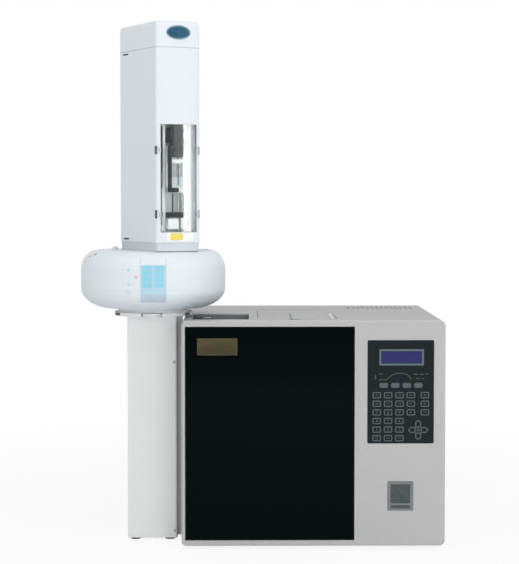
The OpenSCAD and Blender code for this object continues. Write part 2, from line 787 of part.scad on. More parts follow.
// Round-edged sheet-metal column on rubber pads, tied to the housing's side by two brackets
module pedestal_column() {
    top = disc_z;
    color("whitesmoke") placed() {
        difference() {
            flat_plate(pad_h, top) difference() {
                polygon(soft_rect(pedestal_lo, pedestal_hi, 5));
                polygon(soft_rect(pedestal_lo + [2, 2], pedestal_hi - [2, 2], 3));
            }
            for (i = [0:5])
                block([pedestal_lo[0] + 20, pedestal_hi[1] - 3, 60 + i * 12],
                      [pedestal_hi[0] - 20, pedestal_hi[1] + 1, 65 + i * 12]);
        }
        flat_plate(pad_h, pad_h + 3) polygon(soft_rect(pedestal_lo + [2, 2], pedestal_hi - [2, 2], 3));
        flat_plate(top - 3, top) polygon(soft_rect(pedestal_lo + [2, 2], pedestal_hi - [2, 2], 3));
        for (z = [130, 380]) block([pedestal_hi[0], drum_y - 30, z], [0, drum_y + 30, z + 30]);
    }
}

// Disc with a notch for the clamp wheel and a raised hub under the drum
module mounting_disc() {
    color("whitesmoke") on_drum() {
        difference() {
            bar_z([0, 0, disc_z], disc_r, disc_t);
            bar_z([0, 0, disc_z - 1], 30, disc_t + 2);
            block([-22, -disc_r - 1, disc_z - 1], [22, wheel_y + 2, disc_z + disc_t + 1]);
            bar_z([0, wheel_y, disc_z - 1], wheel_r + 1, disc_t + 2);
        }
        difference() {
            bar_z([0, 0, disc_z + disc_t], 75, hub_t);
            bar_z([0, 0, disc_z + disc_t - 1], 30, hub_t + 2);
        }
        bar_z([0, wheel_y, disc_z], 4, disc_t);
    }
}

// Knurled clamp wheel on a fixed pin
module clamp_thumbwheel() {
    color("whitesmoke") on_drum() translate([0, wheel_y, disc_z + 0.5]) difference() {
        cylinder(r = wheel_r, h = disc_t - 1);
        translate([0, 0, -1]) cylinder(r = 4 + run_fit, h = disc_t + 2);
        for (i = [0:19]) rotate(i * 18) translate([wheel_r + 0.9, 0, -1])
            cylinder(r = 2, h = disc_t + 2, $fn = 24);
    }
}

// ---- Carousel drum ----

// Lower shell with its floor, the central post and the pinion's pin
module sampler_base() {
    wall = drum_wall;
    color("whitesmoke") on_drum() {
        rotate_extrude($fn = 96) polygon(concat(
            [[post_r, drum_z]], drum_low(0), [for (i = [10:-1:0]) drum_low(wall)[i]],
            [[post_r, drum_z + wall]]));
        bar_z([0, 0, drum_z], post_r, drum_h + 14);
        bar_z([0, 0, drum_z], post_r + 5, rotor_z - 12 - slip - drum_z);
        rotate(pinion_angle) {
            bar_z([gear_r + pinion_r, 0, drum_z + wall], 4, rotor_z - 0.5 - drum_z - wall);
            bar_z([gear_r + pinion_r, 0, drum_z + wall], 9, rotor_z - 10.5 - drum_z - wall);
        }
    }
}

// Plan of the loading opening, with its edges drawn in by s
module hatch_plan(s) {
    reach = drum_r + 5;
    intersection() {
        rect([-reach, -reach * tan(24)], [-hatch_x - s, reach * tan(24)]);
        polygon([[0, 0], [-reach, reach * tan(24) - s], [-reach, s - reach * tan(24)]]);
    }
}

module cover_shell() {
    wall = drum_wall;
    rotate_extrude($fn = 96) polygon(concat(
        [[drum_r, split_z]], drum_high(0), [[post_r + 3, drum_top], [post_r + 3, drum_top - wall]],
        [for (i = [10:-1:0]) drum_high(wall)[i]], [[drum_r - wall, split_z]]));
}

// Upper shell with the loading opening, the needle's slot and the hatch's hinge lugs
module drum_cover() {
    color("whitesmoke") on_drum() {
        difference() {
            cover_shell();
            flat_plate(hatch_z, drum_top + 1) hatch_plan(0);
            flat_plate(drum_top - 8, drum_top + 1) needle_slot();
        }
        for (y = [-26, 22]) block([-hatch_x - 3, y, drum_top], [-hatch_x + 5, y + 4, drum_top + 6]);
        bar_y([-hatch_x, -22, drum_top + 3], 1.25, 44);
    }
}

// Curved slot that the needle's line follows as the tower turns
module needle_slot() {
    r = norm([syringe_x, syringe_y]);
    a0 = tower_yaw - 90;
    difference() {
        circle(r = r + 4, $fn = 96);
        circle(r = r - 4, $fn = 96);
        rotate(a0 - 3) translate([0, -2 * r]) square([2 * r, 2 * r]);
        rotate(a0 + swivel + 8) square([2 * r, 2 * r]);
        rotate(a0 + 90) square([2 * r, 2 * r]);
        rotate(a0 + 180) square([2 * r, 2 * r]);
    }
}

module loading_hatch() {
    color("whitesmoke") on_drum() difference() {
        union() {
            intersection() {
                cover_shell();
                flat_plate(hatch_z + 0.4, drum_top + 1) hatch_plan(0.4);
            }
            bar_y([-hatch_x, -21.4, drum_top + 3], 2.6, 42.8);
            block([-hatch_x - 2.6, -21.4, drum_top - 0.5], [-hatch_x - 0.4, 21.4, drum_top + 3]);
        }
        bar_y([-hatch_x, -23, drum_top + 3], 1.25 + run_fit, 46);
        for (y = [-26.5, 21.5]) block([-hatch_x - 6, y, drum_top - 5], [-hatch_x, y + 5, drum_top + 1]);
        bar_z([-hatch_x - 48, 0, drum_top - 4.5], 9, 6);
    }
}

// Thin overlay that follows the drum's front
module sampler_keypad() {
    proud = 0.8;
    color("skyblue") on_drum() intersection() {
        rotate_extrude($fn = 96) polygon(concat(
            drum_low(0), drum_high(0), [for (i = [10:-1:0]) drum_high(-proud)[i]],
            [for (i = [10:-1:0]) drum_low(-proud)[i]]));
        rotate(3) translate([-26.6, -drum_r - 5, drum_z + 19]) cube([53.2, 60, 92]);
    }
}

// Carousel: ring gear, tray, upper plate with the vial holes, and hub on the post
module vial_rotor() {
    color("gainsboro") on_drum() difference() {
        union() {
            flat_plate(rotor_z - 10, rotor_z) polygon(gear_points(gear_teeth, gear_r, 1.6, 2.2));
            bar_z([0, 0, rotor_z], vial_ring_r + 12, 5);
            bar_z([0, 0, rotor_z + 17], vial_ring_r + 10, 3);
            bar_z([0, 0, rotor_z - 12], 30, 34);
            for (a = [0:45:315]) rotate(a + 20)
                block([28, -2, rotor_z + 5], [vial_ring_r - 10, 2, rotor_z + 17]);
        }
        bar_z([0, 0, rotor_z - 13], post_r + run_fit, 40);
        for (i = [0:7]) rotate(i * 45) bar_z([58, 0, rotor_z - 11], 15, 17);
        for (i = [0:vial_count - 1]) rotate(vial_angle + i * 360 / vial_count)
            bar_z([vial_ring_r, 0, rotor_z + 16], 5.9, 5);
    }
}

module sample_vials() {
    color("lightblue") on_drum() for (i = [0:vial_count - 1]) rotate(vial_angle + i * 360 / vial_count)
        translate([vial_ring_r, 0, rotor_z + 5]) rotate_extrude($fn = 24)
            polygon([[0, 0], [5.8, 0], [5.8, 22], [3.6, 26], [3.6, 31], [2.6, 31], [2.6, 26], [4.8, 22],
                     [4.8, 1.2], [0, 1.2]]);
}

module vial_caps() {
    color("silver") on_drum() for (i = [0:vial_count - 1]) rotate(vial_angle + i * 360 / vial_count)
        translate([vial_ring_r, 0, rotor_z + 31]) rotate_extrude($fn = 24)
            polygon([[3.6, 0], [5.5, 0], [5.5, 6], [2.6, 6], [2.6, 5], [3.6, 5]]);
}

module rotor_pinion() {
    color("goldenrod") on_drum() rotate(pinion_angle) translate([gear_r + pinion_r, 0, 0]) difference() {
        flat_plate(rotor_z - 10, rotor_z - 0.5) rotate(180 + 180 / pinion_teeth)
            polygon(gear_points(pinion_teeth, pinion_r, 1.6, 2.2));
        bar_z([0, 0, rotor_z - 11], 4 + run_fit, 12);
    }
}

// ---- Tower ----

// Foot ring, back plate, guide rods with their end blocks
module tower_chassis() {
    color("whitesmoke") on_tower() {
        difference() {
            flat_plate(drum_top + 0.4, tower_z) polygon(tower_points(2));
            bar_z([0, 0, drum_top - 1], post_r + run_fit, 17);
            hull() for (dx = [0, 9]) bar_z([syringe_x + dx, syringe_y, drum_top], 7, 20);
        }
        difference() {
            block([-46, plate_y, tower_z], [46, plate_y + 3, tower_z + 396]);
            for (z = [40:60:340]) bar_y([0, plate_y - 1, tower_z + z], 9, 5);
        }
        for (x = rod_x) bar_z([x, rod_y, tower_z + 4], rod_r, 372);
        for (z = [tower_z + 2, tower_z + 372])
            difference() {
                block([rod_x[0] - 8, rod_y - 8, z], [rod_x[1] + 8, plate_y, z + 12]);
                for (x = rod_x) bar_z([x, rod_y, z - 1], rod_r, 14);
            }
    }
}

// Folded wrapper: both sides and the back, open to the front
module tower_shell() {
    color("gainsboro") on_tower() difference() {
        flat_plate(tower_z, tower_z + tower_h) difference() {
            polygon(tower_points(0));
            polygon(tower_points(tower_wall));
            rect([-60, -140], [60, seam_y]);
        }
        for (z = [tower_z + 4, tower_top - 7]) block([-60, 15, z], [-40, 45, z + 3]);
        for (i = [0:5]) translate([-25, tower_back - 5, tower_z + 300 + i * 12]) cube([50, 6, 5]);
    }
}

// Bowed front with the window's opening and the door's fixed hinge lugs
module tower_front_cover() {
    color("ghostwhite") on_tower() {
        difference() {
            flat_plate(tower_z, tower_z + tower_h) difference() {
                polygon(tower_points(0));
                polygon(tower_points(tower_wall));
                rect([-60, seam_y - slip], [60, tower_back + 5]);
            }
            block([-window_half, -140, window_z0], [window_half, seam_y - 2, window_z1]);
        }
        for (z = clip_z) {
            bar_z([clip_x, clip_y, z - 8], 1.2, 16);
            for (dz = [-8, 5.3]) difference() {
                union() {
                    bar_z([clip_x, clip_y, z + dz], 2.4, 2.7);
                    block([clip_x - 1.5, clip_y, z + dz], [clip_x + 1.5, -124, z + dz + 2.7]);
                }
                flat_plate(z - 20, z + 20) polygon(tower_points(0.01));
            }
        }
    }
}

// Round-edged cap, hollow below, on a seam above the body
module tower_cap() {
    z0 = tower_top + 0.6;
    round_r = 9;
    round_z = tower_top + cap_h - round_r;
    color("gainsboro") on_tower() difference() {
        union() {
            flat_plate(z0, round_z) polygon(tower_points(0));
            hull() for (a = [0:22.5:90])
                flat_plate(round_z + round_r * sin(a) - 0.01, round_z + round_r * sin(a))
                    polygon(tower_points(min(edge_r - 0.2, round_r * (1 - cos(a)))));
        }
        flat_plate(z0 - 1, tower_top + cap_h - 12) polygon(tower_points(tower_wall));
    }
    color("gainsboro") on_tower() flat_plate(tower_top, z0) difference() {
        polygon(tower_points(1.2));
        polygon(tower_points(tower_wall));
    }
}

// Fixed guide that holds the needle straight, with its two slim rods and the vial sensor
module needle_guide() {
    z = tower_z + 53;
    color("dimgray") on_tower() {
        difference() {
            union() {
                block([-22, syringe_y - 8, z], [20, syringe_y + 8, z + 11]);
                block([-8, syringe_y + 8, z], [18, plate_y, z + 6]);
            }
            bar_z([syringe_x, syringe_y, z - 1], 1.2, 14);
        }
        for (x = slim_x) bar_z([x, syringe_y, z + 11], 1.5, foot_z - z - 12);
        block([syringe_x + 3, syringe_y - 7, z - 24], [syringe_x + 14, syringe_y + 7, z]);
        block([-24, syringe_y - 8, z - 24], [syringe_x - 3, syringe_y + 8, z - 3]);
        block([-18, syringe_y - 3, z - 3], [syringe_x - 5, syringe_y + 3, z]);
    }
}

// Two drive motors behind the back plate, with their belts beside the guide rods
module tower_motors() {
    color("dimgray") on_tower() {
        for (z = [tower_z + 290, tower_z + 350]) {
            block([-21, plate_y + 3, z], [21, plate_y + 45, z + 42]);
            bar_y([0, plate_y + 45, z + 21], 11, 6);
        }
        for (x = [-32, 40]) {
            block([x - 1, rod_y - 3, tower_z + 20], [x + 1, rod_y + 3, tower_z + 370]);
            for (z = [tower_z + 20, tower_z + 370]) bar_y([x, rod_y - 4, z], 6, plate_y - rod_y + 4);
        }
    }
}

// Clear bowed door that swings on the two left clips
module tower_door() {
    gap = 0.6;
    color("azure", 0.35) on_tower() {
        flat_plate(window_z0 + gap, window_z1 - gap) intersection() {
            difference() {
                polygon(tower_points(0));
                polygon(tower_points(2.5));
            }
            rect([gap - window_half, -140], [window_half - gap, -110]);
        }
        for (z = clip_z) difference() {
            union() {
                bar_z([clip_x, clip_y, z - 5], 2.4, 10);
                block([clip_x, clip_y - 2.4, z - 5], [4 - window_half, clip_y - 0.4, z + 5]);
                block([1 - window_half, clip_y - 2.4, z - 5], [4 - window_half, clip_y + 3, z + 5]);
            }
            bar_z([clip_x, clip_y, z - 6], 1.2 + run_fit, 12);
        }
        for (z = clip_z) block([window_half - 4, -129.6, z - 5], [window_half + 3, -127.8, z + 5]);
        for (z = clip_z) block([window_half - 4, -129, z - 5], [window_half - 2, -126, z + 5]);
    }
}

// Carriage on the guide rods, with the C-shaped arm that holds the syringe
module syringe_carriage() {
    color("black") on_tower() difference() {
        union() {
            block([rod_x[0] - 7, rod_y - 8, foot_z], [rod_x[1] + 7, rod_y + 8, foot_z + 34]);
            block([-21, -108, foot_z + 12], [-12, rod_y - 8, foot_z + 98]);
            block([-21, syringe_y - 7, foot_z], [21, rod_y - 8, foot_z + 12]);
            block([-23, -118, foot_z + 88], [-12, rod_y - 8, foot_z + 98]);
            block([-18, syringe_y - 7, foot_z + 62], [syringe_x + 8, -103, foot_z + 70]);
        }
        for (x = rod_x) bar_z([x, rod_y, foot_z - 1], rod_r + run_fit, 40);
        for (x = slim_x) bar_z([x, syringe_y, foot_z - 1], 2, 14);
        bar_z([syringe_x, syringe_y, foot_z - 1], 3, 14);
        bar_z([syringe_x, syringe_y, foot_z + 60], 5, 12);
    }
}

module syringe_barrel() {
    z = foot_z + 12;
    color("lightcyan") on_tower() difference() {
        union() {
            bar_z([syringe_x, syringe_y, z], 5, barrel_len);
            bar_z([syringe_x, syringe_y, z + barrel_len - 1], 6.5, 2);
        }
        bar_z([syringe_x, syringe_y, z + 2], 1.5, barrel_len);
    }
}

module needle() {
    tip = tower_z - 4;
    color("silver") on_tower() {
        bar_z([syringe_x, syringe_y, tip], 0.6, foot_z - tip + 1);
        bar_z([syringe_x, syringe_y, foot_z + 1], 3, 11);
    }
}

// Plunger block on its own slider, with the plunger that runs inside the barrel
module plunger_drive() {
    z = drive_z;
    color("black") on_tower() {
        difference() {
            union() {
                block([rod_x[0] - 7, rod_y - 8, z + 30], [rod_x[1] + 7, rod_y + 8, z + 62]);
                block([-11, -124, z], [17, -107, z + 67]);
                block([-9, -107.5, z + 34], [15, rod_y - 8, z + 58]);
            }
            for (x = rod_x) bar_z([x, rod_y, z + 29], rod_r + run_fit, 34);
        }
        bar_z([syringe_x, syringe_y, foot_z + 16], 1.2, z - foot_z - 15);
    }
}

base_tray();
front_bezel();
left_side_panel();
right_side_panel();
top_cover();
rear_panel();
rubber_feet();
panel_screws();
oven_insulation();
oven_liner();
fan_shroud();
heater_coil();
fan_motor();
column_hanger();
capillary_column();
injector();
bay_tray();
detector();
hinge_pins();
door_catch();
keypad_membrane();
display_bezel();
display_window();
control_board();
power_supply();
gas_manifold();
gas_fittings();
mains_inlet();
exhaust_duct();
fan_impeller();
door_shell();
door_glass();
door_insulation();
door_liner();
door_gasket();
detector_lid();
power_rocker();
exhaust_flap();
pedestal_column();
mounting_disc();
sampler_base();
drum_cover();
sampler_keypad();
clamp_thumbwheel();
loading_hatch();
vial_rotor();
sample_vials();
vial_caps();
rotor_pinion();
tower_chassis();
tower_shell();
tower_front_cover();
tower_cap();
needle_guide();
tower_motors();
tower_door();
syringe_carriage();
syringe_barrel();
needle();
plunger_drive();
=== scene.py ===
import json
import math
import bpy
from mathutils import Matrix, Vector


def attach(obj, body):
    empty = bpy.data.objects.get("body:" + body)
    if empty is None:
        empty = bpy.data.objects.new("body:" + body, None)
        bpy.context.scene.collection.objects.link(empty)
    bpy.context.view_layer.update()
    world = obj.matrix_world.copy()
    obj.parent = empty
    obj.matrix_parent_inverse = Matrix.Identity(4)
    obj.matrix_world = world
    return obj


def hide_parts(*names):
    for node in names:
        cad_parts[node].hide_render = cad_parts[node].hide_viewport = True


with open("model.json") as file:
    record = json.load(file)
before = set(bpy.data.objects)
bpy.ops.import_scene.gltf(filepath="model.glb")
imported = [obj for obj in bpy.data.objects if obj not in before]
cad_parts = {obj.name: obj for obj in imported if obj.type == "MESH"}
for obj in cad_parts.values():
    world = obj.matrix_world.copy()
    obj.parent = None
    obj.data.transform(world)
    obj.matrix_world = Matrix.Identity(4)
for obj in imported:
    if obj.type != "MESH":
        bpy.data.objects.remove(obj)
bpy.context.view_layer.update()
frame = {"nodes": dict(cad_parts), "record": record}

scene = bpy.context.scene
print("frame loaded,", len(frame["nodes"]), "CAD nodes")


# Places are in millimetres, from the housing's left edge, fascia and bench or in the tower's own frame
housingCorner = (165.0, 260.4)
towerPlace = {"x": -66.0, "y": 170.0, "turn": math.radians(28.0)}
upright = (math.radians(90), 0, 0)  # turns a flat primitive to face -Y


def onHousing(x, y, z):
    return Vector(((x - housingCorner[0]) / 1000, (y - housingCorner[1]) / 1000, z / 1000))


def towerMatrix():
    return (Matrix.Translation(onHousing(towerPlace["x"], towerPlace["y"], 0))
            @ Matrix.Rotation(towerPlace["turn"], 4, "Z"))


# Camera

cameraView = {"place": (-0.038, -3.7814, 0.7398), "lens": 108.6, "down": 2.92, "right": 0.58}


def placeCamera():
    data = bpy.data.cameras.new("frontCamera")
    data.lens = cameraView["lens"]
    data.sensor_width = 36
    camera = bpy.data.objects.new("frontCamera", data)
    scene.collection.objects.link(camera)
    camera.location = cameraView["place"]
    camera.rotation_euler = (math.radians(90 - cameraView["down"]), 0, -math.radians(cameraView["right"]))
    scene.camera = camera


placeCamera()
scene.view_settings.view_transform = "Standard"
print("camera placed")


# Node helpers

def setInputs(node, values):
    for key, value in values.items():
        node.inputs[key].default_value = value


def addNode(tree, kind, place, inputs=None, **values):
    node = tree.nodes.new("ShaderNode" + kind)
    node.location = place
    for key, value in values.items():
        setattr(node, key, value)
    setInputs(node, inputs or {})
    return node


def wire(tree, *links):
    # Each link is a node and its output, then a node and its input
    for source, out, target, into in links:
        tree.links.new(source.outputs[out], target.inputs[into])


def newGroup(name, inputs, outputs):
    group = bpy.data.node_groups.new(name, "ShaderNodeTree")
    for side, sockets in (("INPUT", inputs), ("OUTPUT", outputs)):
        for label, kind in sockets.items():
            group.interface.new_socket(label, in_out=side, socket_type="NodeSocket" + kind)
    entry = group.nodes.new("NodeGroupInput")
    entry.location = (-900, 0)
    leave = group.nodes.new("NodeGroupOutput")
    leave.location = (700, 0)
    return group, entry, leave


def makeGrainGroup():
    # Fine surface grain, stretched along an axis for brushed metal, both as a mask and as a height
    group, entry, leave = newGroup(
        "surfaceGrain", {"Scale": "Float", "Stretch": "Vector", "Contrast": "Float"},
        {"Mask": "Float", "Height": "Float"})
    place = addNode(group, "TexCoord", (-900, -250))
    stretch = addNode(group, "VectorMath", (-650, -100), operation="MULTIPLY")
    fine = addNode(group, "TexNoise", (-420, 0), {"Detail": 3.0, "Roughness": 0.6})
    low = addNode(group, "Math", (-200, -120), {1: -0.35, 2: 0.5}, operation="MULTIPLY_ADD")
    high = addNode(group, "Math", (-200, -300), {0: 1.0}, operation="SUBTRACT")
    spread = addNode(group, "MapRange", (50, 0))
    wire(group, (place, "Object", stretch, 0), (entry, "Stretch", stretch, 1), (stretch, 0, fine, "Vector"),
         (entry, "Scale", fine, "Scale"), (entry, "Contrast", low, 0), (low, 0, high, 1),
         (fine, "Fac", spread, "Value"), (low, 0, spread, "From Min"), (high, 0, spread, "From Max"),
         (spread, "Result", leave, "Mask"), (fine, "Fac", leave, "Height"))
    return group


def makeToneGroup():
    # Slow drift of a colour over the surface, as paint and plastic have after years of cleaning
    group, entry, leave = newGroup(
        "slowTone", {"Color": "Color", "Drift": "Float", "Scale": "Float"}, {"Color": "Color", "Mask": "Float"})
    place = addNode(group, "TexCoord", (-900, -250))
    cloud = addNode(group, "TexNoise", (-600, -150), {"Detail": 2.0, "Roughness": 0.5})
    centre = addNode(group, "Math", (-380, -150), {1: 0.5}, operation="SUBTRACT")
    gain = addNode(group, "Math", (-200, -150), operation="MULTIPLY")
    lift = addNode(group, "Math", (-20, -150), {1: 2.0, 2: 1.0}, operation="MULTIPLY_ADD")
    tint = addNode(group, "VectorMath", (200, 0), operation="SCALE")
    wire(group, (place, "Object", cloud, "Vector"), (entry, "Scale", cloud, "Scale"), (cloud, "Fac", centre, 0),
         (centre, 0, gain, 0), (entry, "Drift", gain, 1), (gain, 0, lift, 0), (entry, "Color", tint, 0),
         (lift, 0, tint, "Scale"), (tint, "Vector", leave, "Color"), (cloud, "Fac", leave, "Mask"))
    return group


def makeEdgeGroup():
    # Where an edge is, from how far a rounded normal leans away, broken up by noise as real rubbing is
    group, entry, leave = newGroup(
        "edgeRub", {"Radius": "Float", "Reach": "Float", "Breakup": "Float"},
        {"Mask": "Float", "Normal": "Vector"})
    rounded = addNode(group, "Bevel", (-700, 100), samples=4)
    shape = addNode(group, "NewGeometry", (-700, -100))
    lean = addNode(group, "VectorMath", (-480, 0), operation="DOT_PRODUCT")
    away = addNode(group, "Math", (-300, 0), {0: 1.0}, operation="SUBTRACT", use_clamp=True)
    reach = addNode(group, "Math", (-120, 0), operation="MULTIPLY", use_clamp=True)
    place = addNode(group, "TexCoord", (-700, -350))
    patch = addNode(group, "TexNoise", (-480, -300), {"Detail": 3.0, "Roughness": 0.6})
    gaps = addNode(group, "MapRange", (-260, -300), {"From Min": 0.42, "From Max": 0.62})
    both = addNode(group, "Math", (120, 0), operation="MULTIPLY", use_clamp=True)
    wire(group, (entry, "Radius", rounded, "Radius"), (rounded, "Normal", lean, 0), (shape, "Normal", lean, 1),
         (lean, "Value", away, 1), (away, 0, reach, 0), (entry, "Reach", reach, 1),
         (place, "Object", patch, "Vector"), (entry, "Breakup", patch, "Scale"), (patch, "Fac", gaps, "Value"),
         (reach, 0, both, 0), (gaps, "Result", both, 1), (both, 0, leave, "Mask"),
         (rounded, "Normal", leave, "Normal"))
    return group


grainGroup = makeGrainGroup()
toneGroup = makeToneGroup()
edgeGroup = makeEdgeGroup()
print("shared shader groups made")


# Finishes

finishes = {}


def rgb(red, green, blue):
    # A colour as a paint chart gives it, 0 to 255, made linear
    def line(value):
        value = value / 255
        return value / 12.92 if value <= 0.04045 else ((value + 0.055) / 1.055) ** 2.4
    return (line(red), line(green), line(blue), 1)


def startFinish(name):
    material = bpy.data.materials.new(name)
    material.use_nodes = True
    tree = material.node_tree
    tree.nodes.clear()
    shader = addNode(tree, "BsdfPrincipled", (500, 0))
    end = addNode(tree, "OutputMaterial", (900, 0))
    wire(tree, (shader, 0, end, "Surface"))
    finishes[name] = material
    return tree, shader, end


def useGroup(tree, group, place, **values):
    return addNode(tree, "Group", place, values, node_tree=group)


def blendColor(tree, place, mask, first, second):
    # Mixes a socket's colour with a second one, a socket or a plain colour, by a mask
    mix = addNode(tree, "Mix", place, data_type="RGBA")
    for index, source in ((0, mask), (6, first), (7, second)):
        if isinstance(source, bpy.types.NodeSocket):
            tree.links.new(source, mix.inputs[index])
        else:
            mix.inputs[index].default_value = source
    return mix.outputs[2]


def spreadValue(tree, place, mask, low, high):
    spread = addNode(tree, "MapRange", place, {"To Min": low, "To Max": high})
    tree.links.new(mask, spread.inputs["Value"])
    return spread.outputs["Result"]


def addFinish(name, color, grain, edge, scale, rough, stretch=(1, 1, 1), metal=0.0, shine=0.5, coat=0.0,
              coatRough=0.1, bump=0.2, bumpDepth=0.0002, drift=0.03, driftScale=7.0, edgeRadius=0.0012,
              edgeReach=2.0):
    # A rigid surface: base colour that drifts, fine grain, rubbed edges, and roughness and bump from both
    tree, shader, _ = startFinish(name)
    speck = useGroup(tree, grainGroup, (-700, -150), Scale=scale, Stretch=stretch, Contrast=0.6)
    tone = useGroup(tree, toneGroup, (-700, 150), Color=rgb(*color), Drift=drift, Scale=driftScale)
    rub = useGroup(tree, edgeGroup, (-700, -450), Radius=edgeRadius, Reach=edgeReach, Breakup=80.0)
    speckled = blendColor(tree, (-350, 150), speck.outputs["Mask"], tone.outputs["Color"], rgb(*grain))
    worn = blendColor(tree, (-100, 150), rub.outputs["Mask"], speckled, rgb(*edge))
    grainRough = spreadValue(tree, (-350, -150), speck.outputs["Mask"], *rough)
    smear = addNode(tree, "Math", (-100, -150), {1: 0.06}, operation="MULTIPLY_ADD", use_clamp=True)
    relief = addNode(tree, "Bump", (200, -400), {"Strength": bump, "Distance": bumpDepth})
    tree.links.new(worn, shader.inputs["Base Color"])
    tree.links.new(grainRough, smear.inputs[2])
    wire(tree, (tone, "Mask", smear, 0), (smear, 0, shader, "Roughness"), (speck, "Height", relief, "Height"),
         (rub, "Normal", relief, "Normal"), (relief, "Normal", shader, "Normal"))
    setInputs(shader, {"Metallic": metal, "IOR": 1.5, "Specular IOR Level": shine, "Coat Weight": coat,
                       "Coat Roughness": coatRough})


# Slot: base, grain and rubbed edge colours, grain scale, roughness from and to, and what else differs
paints = {
    "fascia": ((199, 200, 201), (186, 186, 185), (214, 214, 215), 900, (0.38, 0.52), dict(stretch=(1, 1, 1.7),
        metal=0.35, bump=0.35, drift=0.04, driftScale=5.0, edgeReach=3.0, edgeRadius=0.0016)),
    "housing": ((176, 176, 177), (160, 161, 162), (200, 200, 201), 420, (0.4, 0.5), dict(stretch=(0.1, 1, 1),
        metal=0.1, bump=0.3, drift=0.06, driftScale=14.0)),
    "column_paint": ((234, 235, 235), (228, 229, 230), (234, 234, 234), 700, (0.34, 0.45), dict(bump=0.22,
        drift=0.02)),
    "white_plastic": ((226, 233, 237), (219, 227, 232), (240, 244, 246), 1300, (0.38, 0.5), dict(bump=0.08,
        drift=0.02, driftScale=9.0)),
    "black_gloss": ((3, 9, 10), (5, 11, 12), (46, 52, 54), 300, (0.05, 0.1), dict(bump=0.02, drift=0.1,
        edgeRadius=0.0008, shine=0.035)),
    "black_plastic": ((18, 23, 26), (27, 32, 35), (56, 60, 63), 1500, (0.38, 0.55), dict(bump=0.3, drift=0.08,
        shine=0.2)),
    "dark_metal": ((70, 66, 62), (98, 88, 78), (132, 126, 118), 500, (0.45, 0.7), dict(metal=0.8, bump=0.4,
        drift=0.2, driftScale=20.0)),
    "stainless": ((168, 168, 166), (190, 190, 188), (215, 215, 213), 500, (0.24, 0.42),
        dict(stretch=(1, 1, 14), metal=1.0, bump=0.18, drift=0.06, driftScale=8.0)),
    "plated": ((186, 186, 178), (160, 162, 156), (222, 222, 216), 260, (0.28, 0.46), dict(metal=0.9,
        bump=0.12, drift=0.1, driftScale=16.0)),
    "steel": ((196, 198, 200), (214, 216, 218), (232, 233, 234), 900, (0.14, 0.28), dict(stretch=(12, 12, 1),
        metal=1.0, bump=0.08, drift=0.05)),
    "aluminium": ((178, 180, 183), (194, 196, 198), (218, 219, 221), 700, (0.3, 0.44), dict(stretch=(1, 9, 1),
        metal=0.95, bump=0.14, drift=0.06)),
    "brass": ((188, 152, 86), (204, 170, 104), (226, 200, 140), 650, (0.24, 0.4), dict(stretch=(1, 1, 8),
        metal=1.0, bump=0.12, drift=0.12, driftScale=18.0)),
    "rubber": ((30, 31, 32), (44, 45, 46), (70, 70, 70), 800, (0.62, 0.85), dict(bump=0.45, drift=0.15,
        shine=0.3)),
    "board": ((24, 78, 52), (36, 98, 66), (170, 150, 96), 380, (0.25, 0.45), dict(stretch=(1, 1, 4), bump=0.5,
        drift=0.15, driftScale=25.0)),
    "wool": ((214, 208, 192), (178, 168, 146), (226, 222, 210), 320, (0.85, 1.0), dict(stretch=(1, 1, 3),
        bump=1.0, bumpDepth=0.002, drift=0.12, driftScale=15.0, shine=0.2)),
    "gasket": ((206, 200, 186), (150, 142, 126), (222, 218, 206), 420, (0.8, 0.95), dict(stretch=(4, 4, 4),
        bump=0.9, bumpDepth=0.001, drift=0.14, driftScale=30.0, shine=0.2)),
    "polyimide": ((150, 92, 30), (172, 112, 44), (196, 140, 72), 900, (0.18, 0.3), dict(bump=0.1, drift=0.12,
        driftScale=30.0, coat=0.5)),
    "membrane": ((12, 22, 25), (18, 29, 32), (50, 60, 62), 1400, (0.3, 0.42), dict(bump=0.25, drift=0.08,
        edgeRadius=0.0005, shine=0.3)),
    "sampler_film": ((172, 210, 226), (184, 214, 228), (206, 220, 230), 1200, (0.3, 0.42), dict(bump=0.15,
        drift=0.06, driftScale=24.0)),
}
for slot, (*look, more) in paints.items():
    addFinish(slot, *look, **more)
print("rigid finishes made:", len(finishes))


clearLook = {"color": rgb(238, 244, 246), "ior": 1.49, "shadow": 0.96, "film": 700}


def makeClear():
    # Moulded clear window: smeared gloss for the eye, and nearly nothing for the light that passes it
    tree, shader, end = startFinish("clear")
    smear = useGroup(tree, grainGroup, (-500, -100), Scale=clearLook["film"], Stretch=(1, 1, 0.3), Contrast=0.5)
    tone = useGroup(tree, toneGroup, (-500, 200), Color=clearLook["color"], Drift=0.02, Scale=10.0)
    tree.links.new(spreadValue(tree, (-250, -100), smear.outputs["Mask"], 0.02, 0.07),
                   shader.inputs["Roughness"])
    setInputs(shader, {"IOR": clearLook["ior"], "Transmission Weight": 1.0})
    relief = addNode(tree, "Bump", (200, -300), {"Strength": 0.03, "Distance": 0.0001})
    see = addNode(tree, "BsdfTransparent", (500, 300), {"Color": (clearLook["shadow"],) * 3 + (1,)})
    ray = addNode(tree, "LightPath", (200, 500))
    mix = addNode(tree, "MixShader", (700, 200))
    wire(tree, (tone, "Color", shader, "Base Color"), (smear, "Height", relief, "Height"),
         (relief, "Normal", shader, "Normal"), (ray, "Is Shadow Ray", mix, "Fac"), (shader, 0, mix, 1),
         (see, 0, mix, 2), (mix, 0, end, "Surface"))


displayLook = {"color": rgb(26, 28, 82), "dots": rgb(40, 42, 102), "dotSize": 0.0006, "glow": 0.1}


